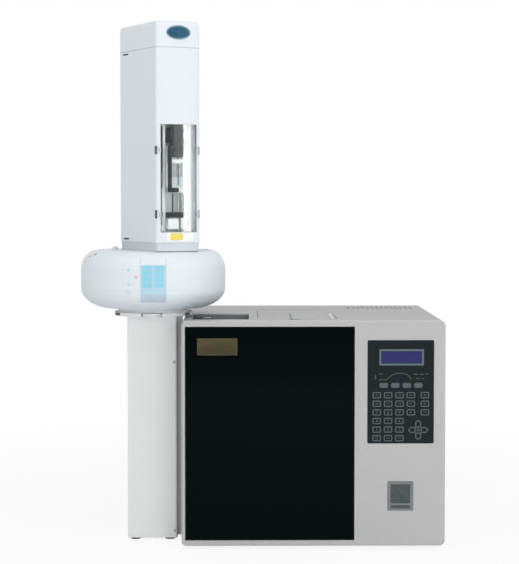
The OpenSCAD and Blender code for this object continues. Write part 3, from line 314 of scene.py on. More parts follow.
def makeDisplay():
    # Blue-violet liquid crystal with the fine grid of its dots and a weak glow
    tree, shader, _ = startFinish("display")
    place = addNode(tree, "TexCoord", (-900, 0))
    grid = addNode(tree, "TexVoronoi", (-650, 0), {"Scale": 1 / displayLook["dotSize"], "Randomness": 0.0},
                   distance="CHEBYCHEV")
    tone = useGroup(tree, toneGroup, (-650, 250), Color=displayLook["color"], Drift=0.12, Scale=28.0)
    dots = addNode(tree, "MapRange", (-400, 0), {"From Min": 0.3, "From Max": 0.45})
    color = blendColor(tree, (-150, 100), dots.outputs["Result"], displayLook["dots"], tone.outputs["Color"])
    for label in ("Base Color", "Emission Color"):
        tree.links.new(color, shader.inputs[label])
    setInputs(shader, {"Emission Strength": displayLook["glow"]})
    tree.links.new(spreadValue(tree, (-150, -200), tone.outputs["Mask"], 0.1, 0.16), shader.inputs["Roughness"])
    relief = addNode(tree, "Bump", (200, -300), {"Strength": 0.05, "Distance": 0.0001})
    wire(tree, (place, "Object", grid, "Vector"), (grid, "Distance", dots, "Value"),
         (dots, "Result", relief, "Height"), (relief, "Normal", shader, "Normal"))


def dressFrame():
    # Every CAD node takes the finish of its own slot
    for part in frame["record"]["subparts"]:
        piece = frame["nodes"][part["node"]]
        piece.data.materials.clear()
        piece.data.materials.append(finishes[part["material_slot"]])


makeClear()
makeDisplay()
dressFrame()
print("frame dressed")


# Modelling helpers, with their measures in millimetres

def startEdit(piece):
    onlySelected(piece)
    bpy.ops.object.mode_set(mode="EDIT")
    bpy.ops.mesh.select_all(action="SELECT")


def leaveEdit():
    bpy.ops.object.mode_set(mode="OBJECT")


def onlySelected(*pieces):
    # The first of them becomes the active one
    bpy.ops.object.select_all(action="DESELECT")
    for piece in pieces:
        piece.select_set(True)
    bpy.context.view_layer.objects.active = pieces[0]


def pick(piece, kind, wanted):
    # Opens the piece in edit mode with only the wanted faces or edges selected
    onlySelected(piece)
    mesh = piece.data
    for group in (mesh.vertices, mesh.edges, mesh.polygons):
        group.foreach_set("select", [False] * len(group))
    for item in mesh.polygons if kind == "FACE" else mesh.edges:
        item.select = bool(wanted(item))
    bpy.ops.object.mode_set(mode="EDIT")
    bpy.ops.mesh.select_mode(type=kind)


def pickEdgesBeyond(piece, x):
    # Picks the edges that lie wholly to the right of a place
    points = piece.data.vertices
    pick(piece, "EDGE", lambda edge: min(points[end].co.x for end in edge.vertices) > x)


def facesFront(face):
    return face.normal.y < -0.9


def slide(x, y, z):
    bpy.ops.transform.translate(value=(x / 1000, y / 1000, z / 1000))


def extrude(step):
    bpy.ops.mesh.extrude_region_move(TRANSFORM_OT_translate={"value": [part / 1000 for part in step]})


def sinkFront(piece, border, depth):
    # Sets the middle of the front face back inside a border
    pick(piece, "FACE", facesFront)
    bpy.ops.mesh.inset(thickness=border / 1000)
    slide(0, depth, 0)
    leaveEdit()


def pushFace(piece, wanted, step):
    pick(piece, "FACE", wanted)
    extrude(step)
    leaveEdit()


def applyModifier(piece, kind, **values):
    onlySelected(piece)
    modifier = piece.modifiers.new(kind.lower(), kind)
    for key, value in values.items():
        setattr(modifier, key, value)
    bpy.ops.object.modifier_apply(modifier=modifier.name)


def thicken(piece, depth):
    # Grows the sheet by its depth towards -Y
    applyModifier(piece, "SOLIDIFY", thickness=depth / 1000, offset=1)


def softenEdges(piece, width, segments=2):
    applyModifier(piece, "BEVEL", width=width / 1000, segments=segments, limit_method="ANGLE",
                  angle_limit=math.radians(30))


def startPiece(name, scale=(1, 1, 1)):
    # Names the new primitive and leaves its size and place in its mesh
    piece = bpy.context.object
    piece.name = piece.data.name = name
    piece.scale = scale
    onlySelected(piece)
    bpy.ops.object.transform_apply(location=True, rotation=True, scale=True)
    return piece


def startPlate(name, width, height, corner=0.0, segments=3):
    # A flat sheet in the X and Z plane, facing -Y, centred on the origin, with its corners rounded
    bpy.ops.mesh.primitive_plane_add(size=1, rotation=upright)
    piece = startPiece(name, (width / 1000, height / 1000, 1))
    if corner:
        roundCorners(piece, corner, segments)
    return piece


def startBlock(name, low, high):
    bpy.ops.mesh.primitive_cube_add(size=1, location=[(a + b) / 2000 for a, b in zip(low, high)])
    return startPiece(name, [(b - a) / 1000 for a, b in zip(low, high)])


def startHousingBlock(name, low, high):
    piece = startBlock(name, low, high)
    shift(piece, onHousing(0, 0, 0))
    return piece


def startCentredBlock(name, width, depth, height):
    return startBlock(name, (-width / 2, -depth / 2, -height / 2), (width / 2, depth / 2, height / 2))


def roundCorners(piece, radius, segments):
    startEdit(piece)
    bpy.ops.mesh.bevel(offset=radius / 1000, segments=segments, affect="VERTICES")
    leaveEdit()


def openMiddle(piece, border):
    # Leaves only a border of the flat sheet
    pick(piece, "FACE", lambda face: True)
    bpy.ops.mesh.inset(thickness=border / 1000)
    bpy.ops.mesh.delete(type="FACE")
    leaveEdit()


def cutStrips(piece, axis, count):
    # Cuts a flat sheet into even strips along an axis, so that it can be bent
    low = min(point.co[axis] for point in piece.data.vertices)
    high = max(point.co[axis] for point in piece.data.vertices)
    along = Vector([1.0 if index == axis else 0.0 for index in range(3)])
    startEdit(piece)
    for index in range(1, count):
        bpy.ops.mesh.select_all(action="SELECT")
        bpy.ops.mesh.bisect(plane_co=along * (low + (high - low) * index / count), plane_no=along)
    leaveEdit()


def shift(piece, move):
    piece.data.transform(Matrix.Translation(move))


def turn(piece, angle, axis):
    piece.data.transform(Matrix.Rotation(angle, 4, axis))


def turnToTower(piece):
    # Takes a piece drawn in the tower's own frame to its place
    piece.data.transform(towerMatrix())


def copyOf(piece, name):
    twin = piece.copy()
    twin.data = piece.data.copy()
    twin.name = twin.data.name = name
    scene.collection.objects.link(twin)
    return twin


def joinPieces(pieces, name):
    onlySelected(*pieces)
    bpy.ops.object.join()
    pieces[0].name = pieces[0].data.name = name
    return pieces[0]


def repeat(piece, places, name):
    # Joins a copy of the piece at each place, and drops the first
    twins = []
    for place in places:
        twins.append(copyOf(piece, piece.name))
        shift(twins[-1], place)
    bpy.data.objects.remove(piece)
    return joinPieces(twins, name)


def dress(piece, finish, body):
    onlySelected(piece)
    bpy.ops.object.shade_smooth_by_angle(angle=math.radians(35))
    piece.data.materials.clear()
    piece.data.materials.append(finishes[finish])
    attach(piece, body)


# Keypad print: outlined keys, plain numbers, the ramp line and the cursor cross

keypad = {
    "corner": (406.6, 324.4), "step": (23.7, 18.0), "rows": 6, "wideRows": 3, "farColumn": 506.9,
    "key": (17.5, 13.0), "line": 2.1,
    "functionPlace": (421.1, 344.8), "functionStep": 24.0, "functionKey": (17.5, 10.5), "functionKeys": 4,
    "face": -1.0, "film": -0.5, "ink": 0.14,
    "bar": (6.5, 1.3), "numberSize": 0.0095,
    "numbers": {(2, 0): "7", (2, 1): "8", (2, 2): "9", (3, 0): "4", (3, 1): "5", (3, 2): "6",
                (4, 0): "1", (4, 1): "2", (4, 2): "3", (5, 0): "0"},
    "cursor": (493.1, 251.5), "petal": (10.6, 12.4, 2.3), "petalOut": 10.8, "petalTip": 5.6,
    "petalCorner": 1.6, "diamond": (6.2, 1.6),
    "ramp": [(411, 356.5), (427, 356.5), (433, 362), (440, 367.5), (448, 370), (462, 370), (470, 367),
             (476, 361), (479, 356.5)],
    "rampLine": 1.5,
    # x, z, width, height
    "dashes": ((404, 362, 2.0, 9.0), (415, 368.5, 7.0, 1.4), (488, 368, 8.0, 1.6), (500, 368, 8.0, 1.6),
               (511, 368.5, 6.0, 1.4), (492, 359, 9.0, 1.3), (503, 359, 5.0, 1.3)),
}


def keyPlaces():
    # Row, column and place of every key; the lower rows have three keys and the upper ones five
    (left, top), (across, down) = keypad["corner"], keypad["step"]
    for row in range(keypad["rows"]):
        wide = row < keypad["wideRows"]
        for column in range(4 if wide else 3):
            yield row, column, left + column * across, top - row * down
        if wide:
            yield row, 4, keypad["farColumn"], top - row * down


def makeKeyOutlines():
    ring = startPlate("keyOutline", *keypad["key"], 2.6, 5)
    openMiddle(ring, keypad["line"])
    thicken(ring, keypad["ink"])
    return repeat(ring, [onHousing(x, keypad["face"], z) for *_, x, z in keyPlaces()], "keyOutlines")


def makeFunctionKeys():
    # Brighter lozenge keys under the display
    lozenge = startPlate("functionKey", *keypad["functionKey"], 3.4, 5)
    thicken(lozenge, keypad["ink"])
    sinkFront(lozenge, 1.2, 0.08)
    left, z = keypad["functionPlace"]
    return repeat(lozenge, [onHousing(left + index * keypad["functionStep"], keypad["face"], z)
                            for index in range(keypad["functionKeys"])], "functionKeys")


def makeNumber(number):
    bpy.ops.object.text_add(rotation=upright)
    mark = bpy.context.object
    mark.data.body = number
    mark.data.size = keypad["numberSize"]
    mark.data.align_x = mark.data.align_y = "CENTER"
    mark.data.extrude = keypad["ink"] / 2000
    bpy.ops.object.convert(target="MESH")
    mark = startPiece("keyNumber")
    shift(mark, (0, -keypad["ink"] / 2000, -0.0002))
    return mark


def makeKeyMarks():
    # Plain numbers on ten keys and a plain bar on the others
    marks = []
    bar = startPlate("keyBar", *keypad["bar"], 0.5)
    thicken(bar, keypad["ink"])
    for row, column, x, z in keyPlaces():
        number = keypad["numbers"].get((row, column))
        marks.append(makeNumber(number) if number else copyOf(bar, "keyBar"))
        shift(marks[-1], onHousing(x, keypad["face"], z))
    bpy.data.objects.remove(bar)
    return joinPieces(marks, "keyMarks")


def traceStripe(name, points, width):
    # A printed line of even width, grown from its first end by one extrusion for each step
    aims = [math.atan2(b[1] - a[1], b[0] - a[0]) for a, b in zip(points, points[1:])]
    aims = [aims[0]] + [(a + b) / 2 for a, b in zip(aims, aims[1:])] + [aims[-1]]
    places = [onHousing(x, keypad["film"], z) for x, z in points]
    stripe = startPlate(name, 0.2, width)
    turn(stripe, -aims[0], "Y")
    shift(stripe, places[0])
    pickEdgesBeyond(stripe, stripe.data.vertices[0].co.x)
    for place, last, aim, before in zip(places[1:], places, aims[1:], aims):
        extrude((place - last) * 1000)
        bpy.ops.transform.rotate(value=aim - before, orient_axis="Y", center_override=place)
    leaveEdit()
    return stripe


def makeRampPrint():
    parts = [traceStripe("rampLine", keypad["ramp"], keypad["rampLine"])]
    for x, z, width, height in keypad["dashes"]:
        dash = startPlate("rampDash", width, height, 0.5)
        shift(dash, onHousing(x, keypad["film"], z))
        parts.append(dash)
    ramp = joinPieces(parts, "rampPrint")
    thicken(ramp, keypad["ink"])
    return ramp


def makeCursorCross():
    # One petal's outline copied four times round an outlined diamond
    width, height, line = keypad["petal"]
    petal = startPlate("cursorPetal", width, height)
    shift(petal, (keypad["petalOut"] / 1000, 0, 0))
    pickEdgesBeyond(petal, keypad["petalOut"] / 1000)
    extrude((keypad["petalTip"], 0, 0))
    bpy.ops.mesh.merge(type="CENTER")
    bpy.ops.mesh.select_all(action="SELECT")
    bpy.ops.mesh.dissolve_limited(angle_limit=0.02)
    leaveEdit()
    roundCorners(petal, keypad["petalCorner"], 3)
    openMiddle(petal, line)
    thicken(petal, keypad["ink"])
    size, line = keypad["diamond"]
    diamond = startPlate("cursorDiamond", size, size)
    turn(diamond, math.radians(45), "Y")
    openMiddle(diamond, line)
    thicken(diamond, keypad["ink"])
    x, z = keypad["cursor"]
    parts = []
    for quarter in range(4):
        twin = copyOf(petal, "cursorPetal")
        turn(twin, math.radians(90 * quarter), "Y")
        shift(twin, onHousing(x, keypad["face"], z))
        parts.append(twin)
    shift(diamond, onHousing(x, keypad["film"], z))
    bpy.data.objects.remove(petal)
    return joinPieces(parts + [diamond], "cursorCross")


inkLook = dict(scale=1600, rough=(0.4, 0.55), drift=0.12, driftScale=30.0, edgeRadius=0.0002)
addFinish("keyInk", (92, 102, 104), (74, 84, 87), (118, 126, 128), **inkLook)
addFinish("functionInk", (88, 100, 104), (70, 82, 86), (132, 140, 142), **inkLook)
for make in (makeKeyOutlines, makeKeyMarks, makeRampPrint, makeCursorCross):
    dress(make(), "keyInk", "housing")
dress(makeFunctionKeys(), "functionInk", "housing")
print("keypad printed")


# Bare plates on the door and below the keypad

doorPlate = {"low": (33.0, -0.7, 407.8), "high": (116.8, 0.0, 443.3), "border": 2.2, "slope": 0.5,
             "sunk": 0.25}
squarePlate = {"middle": (456.65, 113.0), "size": (54.3, 62.0), "rise": 1.0, "fieldRise": 0.15,
               # place up, width, height
               "squareField": (117.5, 41.3, 40.0), "squareStrip": (90.25, 41.3, 7.5)}


def makeDoorPlate():
    # Bare bronze plate with a raised border, cemented to the door's glass
    plate = startHousingBlock("doorPlate", doorPlate["low"], doorPlate["high"])
    pick(plate, "FACE", facesFront)
    bpy.ops.mesh.inset(thickness=doorPlate["border"] / 1000)
    bpy.ops.mesh.inset(thickness=doorPlate["slope"] / 1000)
    slide(0, doorPlate["sunk"], 0)
    leaveEdit()
    softenEdges(plate, 0.15)
    return plate


def makeSquareFrame():
    x, z = squarePlate["middle"]
    plate = startPlate("squarePlate", *squarePlate["size"], 1.5)
    shift(plate, onHousing(x, 0, z))
    thicken(plate, squarePlate["rise"])
    softenEdges(plate, 0.25)
    return plate


def makeSquareField(name):
    z, width, height = squarePlate[name]
    field = startPlate(name, width, height, 0.8)
    shift(field, onHousing(squarePlate["middle"][0], -squarePlate["rise"], z))
    thicken(field, squarePlate["fieldRise"])
    return field


addFinish("bronze", (104, 94, 68), (84, 77, 55), (136, 122, 88), 600, (0.3, 0.45), stretch=(0.08, 1, 1),
          metal=0.6, bump=0.15, drift=0.25, driftScale=22.0, edgeRadius=0.0004)
addFinish("frameSilver", (142, 146, 148), (124, 128, 130), (176, 178, 180), 700, (0.32, 0.45),
          stretch=(0.1, 1, 1), metal=0.4, bump=0.15, drift=0.06, driftScale=20.0, edgeRadius=0.0004)
addFinish("slate", (82, 92, 92), (66, 76, 77), (112, 120, 120), 500, (0.25, 0.4), stretch=(0.3, 1, 1),
          metal=0.2, bump=0.12, drift=0.2, driftScale=30.0, edgeRadius=0.0003)
dress(makeDoorPlate(), "bronze", "oven_door")
dress(makeSquareFrame(), "frameSilver", "housing")
squareField = makeSquareField("squareField")
sinkFront(squareField, 1.2, 0.1)
for field in (squareField, makeSquareField("squareStrip")):
    dress(field, "slate", "housing")
print("housing plates made")


# Tower face: oval badge on the cap, label below the window, tabs beside it

towerFace = {"front": -131.5, "radius": 205.0}
badge = {"across": -1.2, "high": 1079.2, "size": (55.0, 29.0), "rim": 2.6, "rise": 1.6, "fieldRise": 1.12}
# place across, width, height of each sheet
label = {"high": 652.8, "rise": 0.35, "towerLabel": (2.0, 64.0, 18.0), "labelPatch": (-6.5, 29.0, 14.0)}
tabs = {"high": (700.0, 834.0), "size": (3.6, 4.4, 17.0), "leftTabs": (-51.2, -123.6),
        "rightTabs": (46.6, -127.6)}


def wrapToFace(piece):
    # Bows a finely cut flat sheet, drawn at the tower's front, onto the tower's face
    reach = towerFace["radius"] / 1000
    for point in piece.data.vertices:
        point.co.y += reach - math.sqrt(reach ** 2 - point.co.x ** 2)


def cutColumns(piece, step):
    # Cuts a flat sheet into upright strips no wider than the step
    across = [point.co.x for point in piece.data.vertices]
    cutStrips(piece, 0, max(2, int((max(across) - min(across)) * 1000 / step)))


def startOval(name, size, inset):
    bpy.ops.mesh.primitive_circle_add(vertices=48, radius=0.5, fill_type="NGON", rotation=upright)
    return startPiece(name, [(side - 2 * inset) / 1000 for side in size] + [1])


def makeBadge():
    rim = startOval("badgeRim", badge["size"], 0)
    field = startOval("badgeField", badge["size"], badge["rim"])
    openMiddle(rim, badge["rim"] + 0.4)
    cutColumns(field, 3)
    for piece, rise in ((rim, badge["rise"]), (field, badge["fieldRise"])):
        shift(piece, (badge["across"] / 1000, towerFace["front"] / 1000, 0))
        wrapToFace(piece)
        shift(piece, (0, 0, badge["high"] / 1000))
        thicken(piece, rise)
    softenEdges(rim, 0.5, 3)
    for piece in (rim, field):
        shift(piece, (0, 0.0002, 0))
        turnToTower(piece)
    return rim, field


def makeLabelSheet(name, lift):
    # One bare sheet of the label, lifted off the face or off the sheet under it
    across, width, height = label[name]
    piece = startPlate(name, width, height, 1.6)
    shift(piece, (across / 1000, (towerFace["front"] + 0.1) / 1000, 0))
    cutColumns(piece, 4)
    wrapToFace(piece)
    shift(piece, (0, -lift / 1000, label["high"] / 1000))
    thicken(piece, label["rise"])
    turnToTower(piece)
    return piece


def makeTabs(name):
    # Grips over the catches of the window door, on one side
    across, deep = tabs[name]
    grip = startCentredBlock("tabGrip", *tabs["size"])
    sinkFront(grip, 0.8, 0.4)
    softenEdges(grip, 0.7, 3)
    grips = repeat(grip, [Vector((across, deep, high)) / 1000 for high in tabs["high"]], name)
    turnToTower(grips)
    return grips


addFinish("badgeBlue", (28, 78, 108), (38, 94, 124), (60, 120, 148), 300, (0.08, 0.16), bump=0.03, drift=0.3,
          driftScale=60.0, coat=0.8, coatRough=0.04)
addFinish("badgeRim", (96, 132, 150), (120, 152, 168), (164, 190, 200), 500, (0.2, 0.32), metal=0.5,
          bump=0.05, drift=0.1, driftScale=30.0)
addFinish("labelWhite", (242, 242, 238), (236, 236, 230), (250, 250, 248), 1200, (0.3, 0.42), bump=0.1,
          drift=0.02, edgeRadius=0.0003)
addFinish("labelYellow", (226, 208, 84), (236, 220, 112), (240, 228, 150), 800, (0.3, 0.42), bump=0.1,
          drift=0.08, driftScale=60.0, edgeRadius=0.0003)
addFinish("tabGrey", (176, 184, 190), (164, 172, 178), (206, 211, 215), 900, (0.35, 0.5), bump=0.15,
          drift=0.05, edgeRadius=0.0006)
addFinish("tabDark", (78, 90, 102), (66, 76, 88), (116, 126, 136), 900, (0.35, 0.5), bump=0.15, drift=0.08,
          edgeRadius=0.0006)
badgeRim, badgeField = makeBadge()
dress(badgeRim, "badgeRim", "tower")
dress(badgeField, "badgeBlue", "tower")
dress(makeLabelSheet("towerLabel", 0), "labelWhite", "tower")
dress(makeLabelSheet("labelPatch", label["rise"]), "labelYellow", "tower")
dress(makeTabs("leftTabs"), "tabDark", "tower")
dress(makeTabs("rightTabs"), "tabGrey", "tower")
print("tower face dressed")


# Drum keypad and lamps

drum = {"radius": 156.0, "turn": 3.0}
drumKeys = {"rows": (588.5, 576.5, 564.5, 552.5), "columns": (-13.0, 12.0), "size": (19.0, 10.2), "rise": 0.5,
            "gap": 0.85}
drumLamps = {"places": ((-43.9, 584.3, "lampCyan"), (-28.1, 569.9, "lampRed"), (-44.0, 555.0, "lampCyan"),
                        (-44.5, 538.0, "lampLilac")), "size": 6.0, "flat": 0.4}


def bendToDrum(piece):
    # Bends an upright flat sheet, centred on the drum's axis, round the drum's front
    reach = drum["radius"] / 1000
    for point in piece.data.vertices:
        around = point.co.x / reach + math.radians(drum["turn"])
        point.co.x = math.sin(around) * reach
        point.co.y = -math.cos(around) * reach
    shift(piece, onHousing(towerPlace["x"], towerPlace["y"], 0))


def pressOn(piece, node, gap, **values):
    # Presses a thin cut sheet onto a CAD node
    applyModifier(piece, "SHRINKWRAP", target=frame["nodes"][node], wrap_method="NEAREST_SURFACEPOINT",
                  offset=gap / 1000, **values)


def makeDrumKeys():
    keys = []
    for z in drumKeys["rows"]:
        for x in drumKeys["columns"]:
            key = startPlate("drumKey", *drumKeys["size"], 1.6)
            shift(key, (x / 1000, 0, 0))
            cutColumns(key, 3)
            shift(key, (0, 0, z / 1000))
            bendToDrum(key)
            pressOn(key, "drum_cover", drumKeys["gap"])
            thicken(key, drumKeys["rise"])
            keys.append(key)
    return joinPieces(keys, "drumKeys")


def makeDrumLamp(x, z):
    # Front half of a ball, pressed flat
    bpy.ops.mesh.primitive_uv_sphere_add(segments=16, ring_count=8, radius=drumLamps["size"] / 2000)
    lamp = startPiece("drumLamp." + str(int(z)))
    startEdit(lamp)
    bpy.ops.mesh.bisect(plane_co=(0, 0, 0), plane_no=(0, 1, 0), clear_outer=True, use_fill=True)
    bpy.ops.transform.resize(value=(1, drumLamps["flat"], 1))
    leaveEdit()
    around = math.asin(x / drum["radius"])
    turn(lamp, around, "Z")
    shift(lamp, onHousing(towerPlace["x"] + x, towerPlace["y"] - math.cos(around) * drum["radius"], z))
    return lamp


for name, color in (("lampCyan", (190, 226, 228)), ("lampRed", (238, 192, 196)),
                    ("lampLilac", (218, 212, 232))):
    addFinish(name, color, color, color, 900, (0.12, 0.2), bump=0.05, drift=0.06, driftScale=80.0, coat=0.5)
addFinish("drumKeyCyan", (134, 206, 228), (150, 212, 230), (186, 226, 238), 1200, (0.28, 0.4), bump=0.12,
          drift=0.08, driftScale=60.0, edgeRadius=0.0004)
dress(makeDrumKeys(), "drumKeyCyan", "housing")
for x, z, finish in drumLamps["places"]:
    dress(makeDrumLamp(x, z), finish, "housing")
print("drum dressed")


# Syringe mechanism behind the window: each casting in its own finish

mechanism = {
    "guideSplit": 692.5,
    "arm": {"corner": (-25.0, -127.2, 746.0), "bar": 9.5, "depth": 3.0, "top": 844.0, "reach": (16.0, 9.0)},
    "backSheet": {"low": (-41.0, -77.0, 656.0), "high": (41.0, -74.2, 900.0), "rim": 2.0, "lip": 9.0},
    "trough": ((-33.0, -113.0, 664.0), (-24.5, -109.5, 890.0)),
    "cable": {"low": (-40.2, -123.9, 760.0), "high": (-35.4, -120.9, 884.0), "taper": 6.0,
              "narrowed": (0.45, 0.7, 1), "thin": 78.0},
}


def copyNode(node, name):
    # A merged copy of one CAD node
    piece = copyOf(frame["nodes"][node], name)
    startEdit(piece)
    bpy.ops.mesh.remove_doubles(threshold=0.00001)
    bpy.ops.mesh.normals_make_consistent(inside=False)
    leaveEdit()
    return piece


def splitAt(piece, height, keepAbove):
    # Keeps one side of a level plane and closes the cut
    startEdit(piece)
    bpy.ops.mesh.bisect(plane_co=(0, 0, height / 1000), plane_no=(0, 0, 1), use_fill=True,
                        clear_inner=keepAbove, clear_outer=not keepAbove, threshold=0.000001)
    leaveEdit()


def makeCarriage():
    # Machined block on the guide rods
    block = copyNode("syringe_carriage", "carriageBlock")
    softenEdges(block, 0.6)
    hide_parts("syringe_carriage")
    return block


def makeArm():
    # Dark C-shaped arm in front of the carriage, grown from its lower corner
    look = mechanism["arm"]
    bar, top = look["bar"], look["top"]
    left, front, low = look["corner"]
    arm = startBlock("carriageArm", look["corner"], (left + bar, front + look["depth"], low + bar))
    pushFace(arm, lambda face: face.normal.x > 0.9, (look["reach"][0], 0, 0))
    pushFace(arm, lambda face: face.normal.z > 0.9 and face.center.x < (left + bar) / 1000,
             (0, 0, top - low - 2 * bar))
    pushFace(arm, lambda face: face.normal.z > 0.9 and face.center.z > (low + 2 * bar) / 1000, (0, 0, bar))
    pushFace(arm, lambda face: face.normal.x > 0.9 and face.center.z > (top - bar) / 1000,
             (look["reach"][1], 0, 0))
    softenEdges(arm, 1.4, 3)
    turnToTower(arm)
    return arm


def makeGuide():
    # Dark guide bar with its slim rods over a white foot
    foot = copyNode("needle_guide", "guideFoot")
    bar = copyNode("needle_guide", "guideBar")
    splitAt(foot, mechanism["guideSplit"], False)
    splitAt(bar, mechanism["guideSplit"], True)
    softenEdges(foot, 0.8)
    softenEdges(bar, 0.4)
    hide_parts("needle_guide")
    return foot, bar


def makeCable():
    # Flat drive cable down the left of the window, thick above and thin below
    look = mechanism["cable"]
    cable = startBlock("driveCable", look["low"], look["high"])
    pick(cable, "FACE", lambda face: face.normal.z < -0.9)
    extrude((0, 0, -look["taper"]))
    bpy.ops.transform.resize(value=look["narrowed"])
    extrude((0, 0, -look["thin"]))
    leaveEdit()
    softenEdges(cable, 0.5)
    turnToTower(cable)
    return cable


def makeBackSheet():
    # White liner over the drilled back plate, turned forward along both sides
    look = mechanism["backSheet"]
    sheet = startBlock("backSheet", look["low"], look["high"])
    for side in (-1, 1):
        pushFace(sheet, lambda face: face.normal.x * side > 0.9, (side * look["rim"], 0, 0))
    edge = look["high"][0] / 1000
    pushFace(sheet, lambda face: facesFront(face) and abs(face.center.x) > edge, (0, -look["lip"], 0))
    softenEdges(sheet, 0.8)
    turnToTower(sheet)
    return sheet


def makeTrough():
    # White upright channel that keeps the cable clear of the arm
    trough = startBlock("cableTrough", *mechanism["trough"])
    sinkFront(trough, 1.6, 1.2)
    softenEdges(trough, 0.4)
    turnToTower(trough)
    return trough


addFinish("armBlack", (14, 18, 20), (22, 26, 28), (60, 64, 67), 900, (0.3, 0.45), bump=0.15, drift=0.08,
          edgeRadius=0.0008, shine=0.12)
addFinish("guideWhite", (236, 236, 232), (228, 228, 223), (246, 246, 243), 900, (0.35, 0.5), bump=0.12,
          edgeRadius=0.0008)
dress(makeCarriage(), "guideWhite", "carriage")
dress(makeArm(), "armBlack", "carriage")
guideFoot, guideBar = makeGuide()
dress(guideFoot, "guideWhite", "tower")
dress(guideBar, "armBlack", "tower")
dress(makeBackSheet(), "guideWhite", "tower")
dress(makeTrough(), "guideWhite", "tower")
dress(makeCable(), "armBlack", "tower")
print("syringe mechanism made")


# Small fittings: display frame, duct beside the stand, bay and roof trim with painted shade, a painted
# highlight and a painted shadow line, catches, skirt, screws, film fields

duct = ((-12.4, 118, 9), (-0.6, 128, 480.4))
# name: low corner, high corner, softened edge, finish, body, slot
trim = {
    # The two bay sheets are plain grey sheets whose colour paints the shade inside the open injector bay
    "bayShadeLiner": ((21.5, 203.5, 455), (139.5, 206.5, 477.6), 0.5, "linerAndBayShade", "housing", "stainless"),
    "bayShadeMat": ((24, 60, 456), (138, 203, 457.5), 0.5, "linerAndBayShade", "housing", "stainless"),
    "roofSeam": ((159.4, 96, 478.9), (161.2, 300, 479.3), 0.15, "seamAndShadowDark", "housing", "housing"),
    "lidRib": ((229.6, 44, 478.9), (232.6, 214, 479.4), 0.15, "seamAndShadowDark", "roof_lid", "housing"),
    # The roof ridge is a low raised strip whose pale colour paints the highlight along the lid's right edge
    "roofRidgeHighlight": ((316, 50, 478.9), (319.6, 215, 479.9), 0.3, "ridgeHighlightPale", "housing", "housing"),
    "rearBaffle": ((3.5, 495, 455), (546.5, 498, 477.2), 0.4, "linerAndBayShade", "housing", "housing"),
    # The ridge shadow line is a dark strip that paints the shadow cast beside the roof ridge
    "ridgeShadowLine": ((325.6, 60, 478.9), (327.6, 190, 479.3), 0.15, "seamAndShadowDark", "housing", "housing"),
    "ventScreen": ((366, 376, 476.6), (524, 444, 477.3), 0.1, "screenTint", "housing", "housing"),
}
catchSunk = {"border": 0.7, "depth": 0.5}
# name, body, place, length's direction, facing, size
catches = (
    ("hatchCatch", "drum_hatch", (-190.6, 100.9, 611.6), (0.66, -0.68, 0.26), (-0.55, -0.35, 0.75),
     (25.0, 3.4, 2.0)),
    ("leftDiscClip", "housing", (-141.0, 130.6, 485.0), (0.46, -0.89, 0), (-0.89, -0.46, 0), (20.0, 5.6, 1.6)),
    ("rightDiscClip", "housing", (9.0, 130.6, 485.0), (0.46, 0.89, 0), (0.89, -0.46, 0), (20.0, 5.6, 1.6)),
)
skirt = {"top": 639.8, "proud": 0.2}
screws = {"places": ((-19.0, 109.2, 383.7), (-18.4, 109.2, 19.5)), "radius": 2.8, "depth": 2.4}
filmField = {"width": 52.8, "gap": 0.05, "rise": 0.12}
filmFields = (("filmTop", 594.6, 614.6, "fieldPale"), ("filmLow", 507.0, 546.4, "fieldLilac"))


def makeDisplayFrame():
    surround = copyNode("display_bezel", "displayFrame")
    softenEdges(surround, 0.3)
    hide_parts("display_bezel")
    return surround


def makeDuct():
    # Folded cover for the leads between stand and housing, sunk down its front
    cover = startHousingBlock("leadDuct", *duct)
    sinkFront(cover, 2.0, 1.2)
    softenEdges(cover, 0.8)
    return cover


def makeTrim(name, low, high, soften):
    piece = startHousingBlock(name, low, high)
    pick(piece, "FACE", lambda face: facesFront(face) or face.normal.z > 0.9)
    bpy.ops.mesh.inset(thickness=soften * 0.002, use_individual=True)
    leaveEdit()
    softenEdges(piece, soften)
    return piece


def makeCatch(name, place, along, facing, size):
    # Shallow catch with a sunk face
    catch = startCentredBlock(name, *size)
    pick(catch, "FACE", lambda face: face.normal.z > 0.9)
    bpy.ops.mesh.inset(thickness=catchSunk["border"] / 1000)
    slide(0, 0, -catchSunk["depth"])
    leaveEdit()
    softenEdges(catch, 0.6, 3)
    along = Vector(along).normalized()
    across = Vector(facing).cross(along).normalized()
    pose = Matrix((along, across, along.cross(across))).transposed().to_4x4()
    catch.data.transform(Matrix.Translation(onHousing(*place)) @ pose)
    return catch


def makeFootSkirt():
    # Moulded skirt over the tower's foot
    piece = copyNode("tower_chassis", "footSkirt")
    splitAt(piece, skirt["top"], False)
    applyModifier(piece, "DISPLACE", strength=skirt["proud"] / 1000, mid_level=0.0)
    return piece


def makeStandScrews():
    # Socketed round heads on the stand's front corner
    bpy.ops.mesh.primitive_cylinder_add(vertices=24, radius=screws["radius"] / 1000,
                                        depth=screws["depth"] / 1000, rotation=upright)
    head = startPiece("standScrew")
    sinkFront(head, 1.2, 0.9)
    softenEdges(head, 0.4)
    return repeat(head, [onHousing(*place) for place in screws["places"]], "standScrews")


def makeFilmField(name, low, high):
    # A printed field of the drum's film
    field = startPlate(name, filmField["width"], high - low)
    shift(field, (0, 0, (low + high) / 2000))
    cutColumns(field, 3)
    cutStrips(field, 2, 6)
    bendToDrum(field)
    pressOn(field, "sampler_keypad", filmField["gap"], wrap_mode="ABOVE_SURFACE")
    thicken(field, filmField["rise"])
    return field


